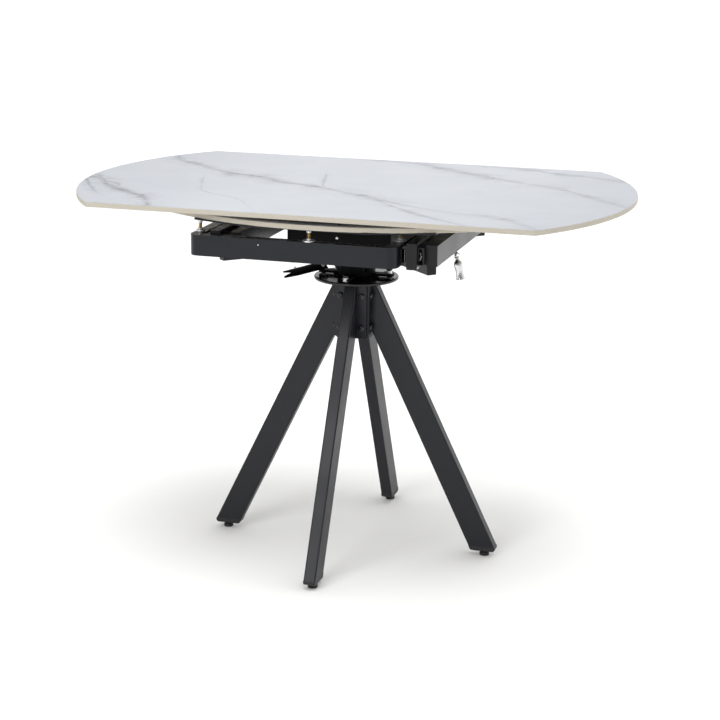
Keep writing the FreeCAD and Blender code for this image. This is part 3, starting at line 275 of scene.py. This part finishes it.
# powder coat: a fine orange peel, slightly paler where the coat is thin
coatLook = {"cloudScale": 9, "cloud": 0.6, "paler": 1.3, "lift": 0.003, "cloudRough": 0.08, "peelRough": 0.1,
            "middleRough": 0.09, "bump": 0.16, "bumpHeight": 0.0002}


def coatedSteel(name, colour, rough=0.42, peel=1500, gloss=0.38):
    look = coatLook
    finish = Finish(name)
    place = finish.place()
    cloud = finish.noise(place, look["cloudScale"], detail=4).between(0.3, 0.75)
    speck = finish.noise(place, peel, detail=2)
    pale = tuple(min(1, part * look["paler"] + look["lift"]) for part in colour)
    finish.feed(Base_Color=finish.mix(cloud * look["cloud"], colour, pale), IOR=1.5, Specular_IOR_Level=gloss,
                Roughness=cloud * look["cloudRough"] + speck * look["peelRough"] + (rough - look["middleRough"]))
    finish.bump(speck, look["bump"], look["bumpHeight"])
    return finish.material


# plated metal: a faint brushed grain and some dullness in patches
metalLook = {"patchScale": 60, "patchRough": 0.12, "lines": (900, 900, 60), "lineRough": 0.1, "bump": 0.06,
             "bumpHeight": 0.0001}


def brightMetal(name, colour, dull, rough, scratch=1.0, tint=0.5):
    look = metalLook
    finish = Finish(name)
    place = finish.place()
    patch = finish.noise(place, look["patchScale"], detail=4).between(0.35, 0.7)
    lines = finish.noise(finish.stretched(place, look["lines"]), scale=1, detail=3)
    finish.feed(Base_Color=finish.mix(patch * tint, colour, dull), Metallic=1.0,
                Roughness=patch * look["patchRough"] + lines * look["lineRough"] * scratch + rough)
    finish.bump(lines, look["bump"] * scratch, look["bumpHeight"])
    return finish.material


# moulded plastic: a fine matt grain
plasticLook = {"grainScale": 900, "cloudScale": 25, "cloud": 0.7, "paler": 1.25, "lift": 0.004, "grainRough": 0.14,
               "middleRough": 0.07, "bump": 0.12, "bumpHeight": 0.0002}


def mouldedPlastic(name, colour, rough=0.5, gloss=0.5):
    look = plasticLook
    finish = Finish(name)
    place = finish.place()
    fine = finish.noise(place, look["grainScale"], detail=3)
    cloud = finish.noise(place, look["cloudScale"], detail=3)
    pale = tuple(part * look["paler"] + look["lift"] for part in colour)
    finish.feed(Base_Color=finish.mix(cloud * look["cloud"], colour, pale), IOR=1.46, Specular_IOR_Level=gloss,
                Roughness=fine * look["grainRough"] + (rough - look["middleRough"]))
    finish.bump(fine, look["bump"], look["bumpHeight"])
    return finish.material


looks = {
    # named as the record's slots
    "sintered_stone": stoneFinish("sinteredStone", stoneLook["slabTop"]),
    "black_steel": coatedSteel("charcoalCoat", (0.0048, 0.0055, 0.0092)),
    "grey_plastic": mouldedPlastic("greyPlastic", (0.0052, 0.0056, 0.0068), rough=0.42, gloss=0.28),
    "black_plastic": mouldedPlastic("blackPlastic", (0.012, 0.012, 0.013)),
    "zinc_steel": brightMetal("brightZinc", (0.82, 0.83, 0.84), (0.68, 0.69, 0.7), rough=0.32),
    "yellow_zinc": brightMetal("yellowZinc", (0.72, 0.55, 0.24), (0.6, 0.5, 0.34), rough=0.24),
    "chrome": brightMetal("chrome", (0.86, 0.87, 0.89), (0.74, 0.75, 0.77), rough=0.05, scratch=0.2, tint=0.3),
    "slide_steel": coatedSteel("slideBlack", (0.016, 0.016, 0.017), rough=0.34, peel=900),
    "bronze": brightMetal("bronze", (0.55, 0.36, 0.18), (0.4, 0.26, 0.13), rough=0.3),
    # finishes of single pieces
    "satinChrome": brightMetal("satinChrome", (0.7, 0.7, 0.71), (0.58, 0.58, 0.59), rough=0.2, scratch=0.6),
    "brightBarrel": brightMetal("brightBarrel", (0.9, 0.9, 0.91), (0.78, 0.78, 0.79), rough=0.24, scratch=0.5,
                                tint=0.4),
    "frameCoat": coatedSteel("frameCoat", (0.0036, 0.0046, 0.0078), rough=0.3, peel=1100, gloss=0.3),
    # painted shade: a darker, nearly unreflective copy of the frame coat for the parts deep in the shade under the top
    "paintedShadeInnerCoat": coatedSteel("paintedShadeInnerCoat", (0.002, 0.002, 0.0022), rough=0.5, peel=1100, gloss=0.07),
    "slideZinc": brightMetal("slideZinc", (0.15, 0.14, 0.13), (0.09, 0.085, 0.08), rough=0.3),
    "boltBlack": coatedSteel("boltBlack", (0.012, 0.012, 0.013), rough=0.3, peel=2500, gloss=0.5),
    "glossBlack": coatedSteel("glossBlack", (0.004, 0.004, 0.005), rough=0.16, peel=300, gloss=0.4),
    "frontStone": stoneFinish("frontStone", stoneLook["leafTop"], -stoneLook["leafTravel"]),
    "backStone": stoneFinish("backStone", stoneLook["leafTop"], stoneLook["leafTravel"]),
}
ownLook = {
    "front_leaf": "frontStone", "back_leaf": "backStone", "base_disc": "glossBlack",
    "front_slide_middles": "slideZinc", "back_slide_middles": "slideZinc",
    # the centre walls, turret, plates, lever and post take the copy of the coat with shade painted in
    "centre_wall_front": "paintedShadeInnerCoat", "centre_wall_back": "paintedShadeInnerCoat", "centre_wall_left": "paintedShadeInnerCoat",
    "centre_wall_right": "paintedShadeInnerCoat", "turret": "paintedShadeInnerCoat", "top_mount_plate": "paintedShadeInnerCoat", "lever_post": "paintedShadeInnerCoat",
    "lock_lever": "paintedShadeInnerCoat", "hub_post": "paintedShadeInnerCoat", "thrust_washer": "paintedShadeInnerCoat",
}


def wear(piece, look):
    piece.data.materials.clear()
    piece.data.materials.append(looks.get(look, look))


for name, node in nodes.items():
    turning = bodyOf[name] != "base" and slotOf[name] == "black_steel"
    wear(node, ownLook.get(name, "frameCoat" if turning else slotOf[name]))
print("materials made")


# hand tools
def pickOnly(piece):
    bpy.ops.object.select_all(action="DESELECT")
    piece.hide_viewport = False
    piece.select_set(True)
    bpy.context.view_layer.objects.active = piece


def applyModifiers(piece):
    pickOnly(piece)
    for modifier in list(piece.modifiers):
        bpy.ops.object.modifier_apply(modifier=modifier.name)
    return piece


def roundEdges(piece, width, segments, angle):
    # edges sharper than the angle, in degrees
    bevel = piece.modifiers.new("edges", "BEVEL")
    bevel.width = width
    bevel.segments = segments
    bevel.limit_method = "ANGLE"
    bevel.angle_limit = math.radians(angle)


def finishPiece(piece, name, body, look, smooth):
    # modifiers and place go into the mesh
    applyModifiers(piece)
    bpy.ops.object.transform_apply(location=True, rotation=True, scale=True)
    piece.name = name
    piece.data.name = name
    bpy.ops.object.shade_smooth_by_angle(angle=math.radians(smooth))
    wear(piece, look)
    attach(piece, body)
    return piece


# rounding of the CAD nodes' sharp edges, in millimetres: 0 leaves a node's own chamfers and shades them smooth
edgeLook = {"merge": 0.03, "flat": 0.1, "segments": 3, "sharp": 40, "smooth": 40, "chamferSmooth": 60}
edgeRounding = {
    "front_u_tube": 2.4, "back_u_tube": 2.4, "rail_left": 0.5, "rail_right": 0.5,
    "leg_right": 0.8, "leg_left": 0.8, "leg_front": 0.8, "leg_back": 0.8, "hub_post": 0.5,
    "front_leaf_plate": 0.5, "back_leaf_plate": 0.5, "top_mount_plate": 0.6,
    "centre_wall_front": 0.5, "centre_wall_back": 0.5, "centre_wall_left": 0.5, "centre_wall_right": 0.5,
    "lock_lever": 0.5, "pull_bracket": 0.5, "turret_ribs": 0.8, "turret": 0.8, "base_disc": 1.2,
    "cross_arm_back_right": 0.5, "cross_arm_back_left": 0.5, "cross_arm_front_left": 0.5,
    "cross_arm_front_right": 0.5, "rail_caps": 1.2, "arm_caps": 1, "front_u_caps": 1.2, "back_u_caps": 1.2,
    "leg_plugs": 0.8, "post_cap": 0.7, "front_slide_outers": 0.55, "back_slide_outers": 0.55,
    "front_slide_middles": 0.5, "back_slide_middles": 0.5, "front_slide_inners": 0.5, "back_slide_inners": 0.5,
    "main_top": 0, "front_leaf": 0, "back_leaf": 0, "lever_post": 0.4,
}


def softenNode(name, width):
    # a copy of a CAD node with its seams merged and its sharp edges rounded
    source = nodes[name]
    pickOnly(source)
    bpy.ops.object.duplicate()
    piece = bpy.context.object
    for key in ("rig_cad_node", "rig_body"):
        del piece[key]
    piece.parent = None
    bpy.ops.object.mode_set(mode="EDIT")
    bpy.ops.mesh.select_all(action="SELECT")
    bpy.ops.mesh.customdata_custom_splitnormals_clear()
    bpy.ops.mesh.remove_doubles(threshold=edgeLook["merge"] * mm)
    bpy.ops.mesh.dissolve_limited(angle_limit=math.radians(edgeLook["flat"]), delimit={"NORMAL"})
    bpy.ops.object.mode_set(mode="OBJECT")
    if width:
        roundEdges(piece, width * mm, edgeLook["segments"], edgeLook["sharp"])
    smooth = edgeLook["smooth"] if width else edgeLook["chamferSmooth"]
    finishPiece(piece, name + "_edged", bodyOf[name], source.data.materials[0], smooth)
    flats = piece.modifiers.new("flats", "WEIGHTED_NORMAL")
    flats.keep_sharp = True
    applyModifiers(piece)
    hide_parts(name)


for name, width in edgeRounding.items():
    softenNode(name, width)
print("edges rounded on", len(edgeRounding), "nodes")


# new pieces are shaped at the world's middle in millimetres, then set where they belong
def turned(name, stations, sides=32):
    # stations are (radius, height) along the outline
    radius, height = stations[0]
    bpy.ops.object.select_all(action="DESELECT")
    bpy.ops.mesh.primitive_circle_add(vertices=sides, radius=radius, fill_type="NGON", location=(0, 0, height))
    piece = bpy.context.object
    piece.name = name
    bpy.ops.object.mode_set(mode="EDIT")
    bpy.ops.mesh.select_all(action="SELECT")
    for nextRadius, nextHeight in stations[1:]:
        bpy.ops.mesh.extrude_region_move(TRANSFORM_OT_translate={"value": (0, 0, nextHeight - height)})
        share = nextRadius / radius
        bpy.ops.transform.resize(value=(share, share, 1), center_override=(0, 0, nextHeight))
        radius, height = nextRadius, nextHeight
    bpy.ops.mesh.select_all(action="SELECT")
    bpy.ops.mesh.normals_make_consistent(inside=False)
    bpy.ops.object.mode_set(mode="OBJECT")
    bpy.ops.object.transform_apply(location=True)
    return piece


def thread(radius, bottom, top, pitch=1.25, depth=0.45):
    # ridges of a machine thread, as rings
    ridges = []
    for index in range(int((top - bottom) / pitch)):
        ridges += [(radius - depth, bottom + index * pitch), (radius, bottom + (index + 0.5) * pitch)]
    return ridges + [(radius - depth, top)]


def bored(piece, cutter):
    bore = piece.modifiers.new("bore", "BOOLEAN")
    bore.object = cutter
    bore.solver = "EXACT"
    applyModifiers(piece)
    bpy.data.objects.remove(cutter)
    return piece


def stacked(piece, count, step):
    # a pile of the same piece along Z
    pile = piece.modifiers.new("pile", "ARRAY")
    pile.count = count
    pile.use_relative_offset = False
    pile.use_constant_offset = True
    pile.constant_offset_displace = (0, 0, step)
    return applyModifiers(piece)


def spread(piece, places):
    # copies at (place, turn), in millimetres and degrees, each with its own mesh
    made = []
    for index, (place, turn) in enumerate(places):
        pickOnly(piece)
        if index < len(places) - 1:
            bpy.ops.object.duplicate()
        copy = bpy.context.object
        copy.location = Vector(place) * mm
        copy.rotation_euler = [math.radians(angle) for angle in turn]
        copy.scale = (mm, mm, mm)
        made.append(copy)
    return made


def joined(pieces):
    bpy.ops.object.select_all(action="DESELECT")
    for piece in pieces:
        piece.select_set(True)
    bpy.context.view_layer.objects.active = pieces[0]
    if len(pieces) > 1:
        bpy.ops.object.join()
    return pieces[0]


def fitted(piece, name, body, look, places=(((0, 0, 0), (0, 0, 0)),), smooth=35, replaces=()):
    piece = finishPiece(joined(spread(piece, places)), name, body, look, smooth)
    if replaces:
        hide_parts(*replaces)


def swung(out, aside, turn):
    # a place out along X and aside along Y, turned about Z by degrees
    swing = math.radians(turn)
    return (out * math.cos(swing) - aside * math.sin(swing), out * math.sin(swing) + aside * math.cos(swing))


# studs that set the leaf's height: threaded rod, pad, and a wheel or a flanged nut on the tube
studLook = {
    "places": [(-228.5, -286), (0, -314), (161.5, -254)], "turn": 40,  # degrees for each millimetre of x
    "thread": 3.5, "core": 3.0, "foot": 688, "threadFrom": 703, "top": 724.2,
    "pad": [(3.3, 720.6), (4, 721.2), (4.3, 722.8), (5, 724), (5.6, 724.4), (5.6, 726.6), (5.2, 727), (0.5, 727)],
    "wheel": [(3.6, 704.05), (10.7, 704.05), (11.6, 704.5), (11.9, 705.4), (11.6, 706.5), (10.6, 707.2),
              (8, 707.6), (5.6, 707.9), (5.2, 708.3), (5.1, 709.6), (4.6, 710.1), (3.4, 710.2)],
    "cornerNut": [(3.6, 704.05), (7.8, 704.05), (8.4, 704.6), (8.5, 706), (8.2, 707.8), (7.2, 708.7),
                  (5.4, 709.1), (4.9, 709.6), (4.8, 710.6), (4.4, 711), (3.4, 711.1)],
}
for side, way in (("front", 1), ("back", -1)):
    carriage = side + "_leaf_carriage"
    spots = [((x * way, y * way, 0), (0, 0, studLook["turn"] * x)) for x, y in studLook["places"]]
    rodLine = thread(studLook["thread"], studLook["threadFrom"], studLook["top"])
    rod = turned("rod", [(studLook["core"], studLook["foot"])] + rodLine, sides=20)
    fitted(rod, side + "_stud_rods", carriage, "yellow_zinc", spots,
           replaces=[side + "_leaf_studs"])
    fitted(turned("pad", studLook["pad"]), side + "_stud_pads", carriage, "zinc_steel", spots)
    fitted(turned("wheel", studLook["wheel"], sides=48), side + "_stud_wheels", carriage, "zinc_steel",
           spots[1:], replaces=[side + "_stud_nuts"])
    fitted(turned("cornerNut", studLook["cornerNut"]), side + "_corner_nut", carriage, "zinc_steel",
           spots[:1])
print("leaf studs made")

# hexagon screws under the arms, each with its washer and lock nut
glideLook = {
    "out": 75, "turn": 15, "core": (2.2, 576.3), "thread": (3, 577, 584, 1),
    "washer": [(3.2, 583.6), (6.2, 583.6), (6.4, 583.8), (6.4, 584.8), (6.2, 585), (3.2, 585)],
    "lockNut": [(3, 577.6), (6, 577.6), (6.3, 577.9), (6.3, 578.8), (5.6, 579.2), (5.77, 579.6), (5.77, 582.6),
                (5.2, 583.4), (3, 583.5)],
    "head": [(5.2, 585), (5.77, 585.5), (5.77, 589.2), (5.1, 590), (3.4, 590), (3.1, 589.6)],
}
shank = turned("shank", [glideLook["core"]] + thread(*glideLook["thread"]), sides=20)
washer = turned("washer", glideLook["washer"])
lockNut = turned("lockNut", glideLook["lockNut"], sides=6)
hexHead = turned("hexHead", glideLook["head"], sides=6)
glidePlaces = [((0, glideLook["out"] * way, 0), (0, 0, glideLook["turn"])) for way in (-1, 1)]
fitted(joined([shank, washer, lockNut]), "glide_screw_nuts", "upper_frame", "zinc_steel", glidePlaces,
       smooth=30, replaces=["glide_screws"])
fitted(hexHead, "glide_screw_heads", "upper_frame", "boltBlack", glidePlaces, smooth=30)

# button heads with a hexagon socket hold the legs' plates to the post
boltLook = {
    "face": 37, "aside": 22.5, "levels": (474, 540), "socket": 2.9, "socketFloor": 2.4, "above": 6,
    "head": [(6.9, 0), (7, 0.15), (7, 0.95), (6.9, 1.1), (6.3, 1.15), (6.45, 1.5), (6.3, 2.6), (5.6, 3.8),
             (4.4, 4.6), (3.4, 4.9), (0.6, 5)],
}
button = turned("button", boltLook["head"])
socketLine = [(boltLook["socket"], level) for level in (boltLook["socketFloor"], boltLook["above"])]
socket = turned("socket", socketLine, sides=6)
bored(button, socket)
boltPlaces = [((*swung(boltLook["face"], aside, turn), level), (0, 90, turn)) for turn in (0, 90, 180, 270)
              for aside in (-boltLook["aside"], boltLook["aside"]) for level in boltLook["levels"]]
fitted(button, "leg_plate_bolts", "base", "boltBlack", boltPlaces, smooth=30,
       replaces=["leg_bolts"])
print("screws made")

# levelling foot: rubber-edged disc, hexagon and threaded stem
footLook = {
    "reach": 283.89,
    "disc": [(8.4, 0), (9.4, 0.3), (10, 1.2), (10, 2.6), (9.7, 2.9), (10, 3.2), (10, 5.6), (9.2, 6.9), (7, 8),
             (4, 8.3)],
    "stemFoot": (3.4, 8), "thread": (4, 9, 12), "stemTop": (3.4, 36),
    "nut": [(5.4, 8.2), (5.9, 8.6), (5.9, 10.4), (5.4, 10.9), (3.6, 10.9)],
}
footPlaces = [((*swung(footLook["reach"], 0, turn), 0), (0, 0, turn)) for turn in (0, 90, 180, 270)]
fitted(turned("foot", footLook["disc"], sides=40), "foot_discs", "base", "black_plastic", footPlaces,
       smooth=40, replaces=["levelling_feet"])
stem = turned("stem", [footLook["stemFoot"]] + thread(*footLook["thread"]) + [footLook["stemTop"]], sides=20)
footNut = turned("footNut", footLook["nut"], sides=6)
fitted(joined([stem, footNut]), "foot_stems", "base", "zinc_steel", footPlaces, smooth=30)

# index plunger: polished barrel on the lug and a domed knob above it
plungerLook = {
    "out": 70,
    "barrel": [(4.6, 576.4), (5.7, 576.7), (6.4, 578), (6.5, 580.4), (6.2, 583), (5.3, 585), (4.7, 586), (4.7, 589.4),
               (4.4, 590)],
    "knob": [(2.4, 576.3), (3.4, 577.3), (3.4, 590.3), (4.6, 590.35), (6.2, 590.9), (6.5, 591.8), (6.4, 593),
             (5.7, 594.2), (4.2, 594.9), (2.2, 595.25), (0.5, 595.3)],
}
plungerPlace = [((plungerLook["out"], 0, 0), (0, 0, 0))]
fitted(turned("barrel", plungerLook["barrel"], sides=40), "plunger_barrel", "upper_frame", "brightBarrel",
       plungerPlace, smooth=40, replaces=["plunger_sleeve"])
fitted(turned("knob", plungerLook["knob"], sides=40), "plunger_knob", "plunger", "black_plastic",
       plungerPlace, smooth=40, replaces=["index_plunger"])
print("feet and plunger made")

# pull handle: a cast bell on its ring, hollow from the mouth, with an eye across its neck
handleLook = {
    "place": (224, -65, 650), "tilt": -12, "eye": 2, "eyeDrop": -11.5, "eyeHalf": 8,
    "bell": [(1.2, -8), (2.8, -8.1), (3.5, -8.7), (3.7, -10), (3.8, -14.2), (4.6, -15.8), (6.1, -17.6), (7.6, -19.6),
             (8.5, -22), (8.8, -24.8), (8.6, -28), (8, -31.6), (7.5, -35.2), (7.3, -38.6), (7.5, -42.4), (8, -46.4),
             (8.7, -50), (9.2, -52.9), (9.4, -53.6), (9.3, -54)],
    "hollow": [(8.8, -54), (8.2, -51.4), (6.8, -45), (5.6, -39), (5.2, -35), (0.6, -34)],
}
bell = turned("bell", handleLook["bell"] + handleLook["hollow"], sides=48)
eyeBore = turned("eyeBore", [(handleLook["eye"], handleLook["eyeHalf"] * way) for way in (-1, 1)], sides=20)
eyeBore.rotation_euler = (0, math.radians(90), 0)
eyeBore.location = (0, 0, handleLook["eyeDrop"])
fitted(bored(bell, eyeBore), "bell_handle", "pull_pendant", "satinChrome",
       [(handleLook["place"], (0, handleLook["tilt"], 0))], smooth=50, replaces=["pull_handle"])

# torsion spring round the lever's pin
leverLook = {
    "pivot": (-72, -3, 593.5), "turn": 211, "slope": 12, "wire": 1.1, "coil": 4.6, "coils": 4, "coilStep": 1.04,
    "coilShift": (-2.2, 3.9, 0), "screwOut": 58, "screwShift": (-2, 5, 7),
    "screw": [(2.6, 0), (2.7, 0.3), (2.5, 1.2), (1.6, 1.7), (0.8, 1.5), (0.3, 1)],
}
bpy.ops.object.select_all(action="DESELECT")
bpy.ops.mesh.primitive_torus_add(major_radius=leverLook["coil"], minor_radius=leverLook["wire"] / 2,
                                 major_segments=24, minor_segments=8, location=(0, 0, 0))
coil = stacked(bpy.context.object, leverLook["coils"], leverLook["wire"] * leverLook["coilStep"])
coilPlace = Vector(leverLook["pivot"]) + Vector(leverLook["coilShift"])
fitted(coil, "lever_spring", "upper_frame", "boltBlack",
       [(coilPlace, (90, 0, leverLook["turn"] - 180))])

# small screws: one on the front bar, one on each end wall of the middle frame, one beside a rail's end
screwLook = {
    # body, place, turn, radius, look
    "bar_rivet": ("front_leaf_carriage", (-97, -325, 693), (90, 0, 0), 1.4, "satinChrome"),
    "rail_screw": ("upper_frame", (205.1, -289, 663.5), (0, 90, 0), 2.3, "zinc_steel"),
    "wall_screw": ("upper_frame", (-3.4, -125, 676), (90, 0, 0), 3.2, "satinChrome"),
    "wall_screw_back": ("upper_frame", (3.4, 125, 676), (-90, 0, 0), 3.2, "satinChrome"),
}
screwHead = [(1, 0), (1, 0.3), (0.86, 0.55), (0.5, 0.72), (0.34, 0.74), (0.26, 0.45)]  # shares of the radius
screwRecess = (0.1, 0.4)  # millimetres across, share deep
for name, (body, place, turn, radius, look) in screwLook.items():
    line = [(radius * share, radius * rise) for share, rise in screwHead]
    head = turned(name, line + [(screwRecess[0], radius * screwRecess[1])], sides=24)
    fitted(head, name, body, look, [(place, turn)], smooth=40)
print("handle, spring and small screws made")

# the rail's far end carries a stop channel in line with each slide, closed behind its mouth
tailLook = {"rail": 205.2, "width": 11.4, "inward": 20.4, "low": 667.2, "high": 700.8, "near": 210.4, "far": 290.4,
            "wall": 1.3, "mouth": 22, "rounding": 0.55}
tailPlaces = [((0, 0, 0), (0, 0, 0)), ((0, 0, 0), (0, 0, 180))]


def stopChannel(name, start):
    # start is the channel's side next to the rail, and the channel runs along Y on the -Y side
    look = tailLook
    bpy.ops.object.select_all(action="DESELECT")
    bpy.ops.mesh.primitive_cube_add(size=1, location=(
        start + look["width"] / 2, -(look["near"] + look["far"]) / 2, (look["low"] + look["high"]) / 2))
    piece = bpy.context.object
    piece.name = name
    piece.scale = (look["width"], look["far"] - look["near"], look["high"] - look["low"])
    bpy.ops.object.transform_apply(location=True, rotation=True, scale=True)
    bpy.ops.object.mode_set(mode="EDIT")
    bpy.ops.mesh.select_all(action="DESELECT")
    bpy.ops.object.mode_set(mode="OBJECT")
    for face in piece.data.polygons:
        face.select = face.normal.y < -0.9
    bpy.ops.object.mode_set(mode="EDIT")
    bpy.ops.mesh.select_mode(type="FACE")
    bpy.ops.mesh.inset(thickness=look["wall"])
    bpy.ops.mesh.extrude_region_move(TRANSFORM_OT_translate={"value": (0, look["mouth"], 0)})
    bpy.ops.object.mode_set(mode="OBJECT")
    roundEdges(piece, look["rounding"], segments=3, angle=50)
    return applyModifiers(piece)


for name, start in (("outer", tailLook["rail"]), ("inner", tailLook["inward"] - tailLook["rail"])):
    fitted(stopChannel(name, start), "slide_stops_" + name, "upper_frame", "slide_steel", tailPlaces,
           smooth=40)

# spring latch in the outer channel's mouth: a strip bent to a point at its middle
latchLook = {"place": (208.8, -286.5, 684), "height": 14.4, "depth": 4, "reach": 3.4, "bend": 1.1, "thickness": 0.7,
             "rounding": 0.2}
bpy.ops.object.select_all(action="DESELECT")
bpy.ops.mesh.primitive_plane_add(size=1, location=(0, 0, 0), rotation=(0, math.radians(90), 0))
latch = bpy.context.object
latch.scale = (latchLook["height"], latchLook["depth"], 1)
bpy.ops.object.transform_apply(location=False, rotation=True, scale=True)
bpy.ops.object.mode_set(mode="EDIT")
bpy.ops.mesh.select_all(action="SELECT")
bpy.ops.mesh.subdivide(number_cuts=1)
bpy.ops.mesh.select_mode(type="EDGE")
bpy.ops.mesh.select_all(action="DESELECT")
bpy.ops.object.mode_set(mode="OBJECT")
for edge in latch.data.edges:
    edge.select = all(abs(latch.data.vertices[corner].co.z) < 0.01 for corner in edge.vertices)
bpy.ops.object.mode_set(mode="EDIT")
bpy.ops.transform.translate(value=(latchLook["reach"], 0, 0))
bpy.ops.mesh.bevel(offset=latchLook["bend"], segments=4, affect="EDGES")
bpy.ops.object.mode_set(mode="OBJECT")
strip = latch.modifiers.new("strip", "SOLIDIFY")
strip.thickness = latchLook["thickness"]
strip.offset = 0
applyModifiers(latch)
roundEdges(latch, latchLook["rounding"], segments=2, angle=50)
x, y, z = latchLook["place"]
fitted(applyModifiers(latch), "slide_latches", "upper_frame", "satinChrome",
       [((x, y, z), (0, 0, 0)), ((-x, -y, z), (0, 0, 180))], smooth=50)

# row of balls in each slide's mouth
ballLook = {"radius": 1.15, "count": 7, "step": 3.6, "outs": (180, -211.2), "end": -289.6, "low": 673.2}
bpy.ops.object.select_all(action="DESELECT")
bpy.ops.mesh.primitive_ico_sphere_add(subdivisions=2, radius=ballLook["radius"], location=(0, 0, 0))
balls = stacked(bpy.context.object, ballLook["count"], ballLook["step"])
for side, way in (("front", 1), ("back", -1)):
    pickOnly(balls)
    bpy.ops.object.duplicate()
    ballSpots = [((out * way, ballLook["end"] * way, ballLook["low"]), (0, 0, 0)) for out in ballLook["outs"]]
    fitted(bpy.context.object, side + "_slide_balls", side + "_leaf_carriage", "satinChrome",
           ballSpots, smooth=60)
bpy.data.objects.remove(balls)

# screw on the lever's upper flange, which slopes down outwards
out = leverLook["screwOut"]
outward = Vector((*swung(out, 0, leverLook["turn"]), -out * math.tan(math.radians(leverLook["slope"]))))
screwPlace = Vector(leverLook["pivot"]) + outward + Vector(leverLook["screwShift"])
fitted(turned("tipScrew", leverLook["screw"], sides=24), "lever_screw", "lever", "zinc_steel",
       [(screwPlace, (0, -leverLook["slope"], leverLook["turn"] - 180))], smooth=40)

# weld beads: rippled cords in the corners between the turret and its ribs
weldLook = {"radius": 1.5, "ripple": 0.3, "step": 1.6, "crest": 0.6, "end": 0.6, "out": 39.2, "aside": 4.3, "low": 592,
            "high": 632}
ripples = []
for index in range(int((weldLook["high"] - weldLook["low"]) / weldLook["step"])):
    level = weldLook["low"] + index * weldLook["step"]
    crest = level + weldLook["step"] * weldLook["crest"]
    ripples += [(weldLook["radius"], level), (weldLook["radius"] + weldLook["ripple"], crest)]
beadEnds = [(weldLook["end"], weldLook["low"] - weldLook["end"]), (weldLook["end"], weldLook["high"])]
bead = turned("bead", beadEnds[:1] + ripples + beadEnds[1:], sides=10)
beadSpots = [((*swung(weldLook["out"], aside, turn), 0), (0, 0, 0)) for turn in (45, 135, 225, 315)
             for aside in (-weldLook["aside"], weldLook["aside"])]
fitted(bead, "turret_welds", "upper_frame", "frameCoat", beadSpots, smooth=60)
print("slide stops, latches, balls and welds made")


# floor, light and camera
floorLook = {"size": 200, "colour": (0.9, 0.9, 0.89), "shade": (0.88, 0.88, 0.87), "cloudScale": 3, "cloud": 0.2,
             "rough": 0.9}
bpy.ops.mesh.primitive_plane_add(size=floorLook["size"], location=(0, 0, 0))
floor = bpy.context.object
floor.name = "floor"
floorFinish = Finish("paleFloor")
floorCloud = floorFinish.noise(floorFinish.place(), floorLook["cloudScale"], detail=3) * floorLook["cloud"]
floorFinish.feed(Base_Color=floorFinish.mix(floorCloud, floorLook["colour"], floorLook["shade"]),
                 Roughness=floorLook["rough"])
wear(floor, floorFinish.material)

studio = {
    # light from the sky at the camera's side, behind, from the right and from above
    "camera": 0.12, "back": 1.15, "side": 0.35, "overhead": 0.42, "turnOver": 0.8, "overheadFrom": 0.4,
    "overheadFull": 0.75,
    "sun": 1.3, "sunSpread": 38, "sunTurn": (10, 4, 0), "sunPlace": (0, 0, 3),
    "softbox": (-0.96, -3.09, 1.98), "softboxAim": (0, -0.17, 0.3), "softboxSize": 1.7, "softboxPower": 48,
}


class Sky(Finish):
    def __init__(self, name):
        self.world = bpy.data.worlds.new(name)
        self.world.use_nodes = True
        self.tree = self.world.node_tree
        self.shader = self.tree.nodes["Background"]


sky = Sky("studio")
toX, toY, toZ = sky.axes(sky.node("ShaderNodeTexCoord", output="Generated"))
around = toY.between(-studio["turnOver"], studio["turnOver"], False) * (studio["back"] - studio["camera"])
above = toZ.between(studio["overheadFrom"], studio["overheadFull"]) * studio["overhead"]
sky.feed(Color=(1, 1, 1), Strength=around + studio["camera"] + toX * studio["side"] + above)
bpy.context.scene.world = sky.world

bpy.ops.object.light_add(type="SUN", location=studio["sunPlace"])
sun = bpy.context.object
sun.name = "softSun"
sun.data.energy = studio["sun"]
sun.data.angle = math.radians(studio["sunSpread"])
sun.rotation_euler = [math.radians(turn) for turn in studio["sunTurn"]]

bpy.ops.object.light_add(type="AREA", location=studio["softbox"])
softbox = bpy.context.object
softbox.name = "frontSoftbox"
softbox.data.size = studio["softboxSize"]
softbox.data.energy = studio["softboxPower"]
towardsLight = Vector(studio["softbox"]) - Vector(studio["softboxAim"])
softbox.rotation_euler = towardsLight.to_track_quat("Z", "Y").to_euler()

# the photograph's view: degrees, metres and millimetres of lens; aim is right of and above the floor's middle
cameraLook = {"azimuth": 16.5, "elevation": 14.8, "roll": 0.57, "distance": 3.855, "aim": (0.009, 0.3956),
              "lens": 92.9, "sensor": 36}
azimuth, elevation, roll = (math.radians(cameraLook[key]) for key in ("azimuth", "elevation", "roll"))
backward = Vector((math.sin(azimuth) * math.cos(elevation), -math.cos(azimuth) * math.cos(elevation),
                   math.sin(elevation)))
level = Vector((math.cos(azimuth), math.sin(azimuth), 0))
upright = backward.cross(level)
rightward = level * math.cos(roll) + upright * math.sin(roll)
skyward = upright * math.cos(roll) - level * math.sin(roll)
aim = level * cameraLook["aim"][0] + Vector((0, 0, cameraLook["aim"][1]))
cameraTurn = Matrix((rightward, skyward, backward)).transposed().to_4x4()
bpy.ops.object.camera_add()
camera = bpy.context.object
camera.matrix_world = Matrix.Translation(aim + backward * cameraLook["distance"]) @ cameraTurn
camera.data.lens = cameraLook["lens"]
camera.data.sensor_width = cameraLook["sensor"]
bpy.context.scene.camera = camera
bpy.context.scene.view_settings.view_transform = "Standard"
print("studio ready")
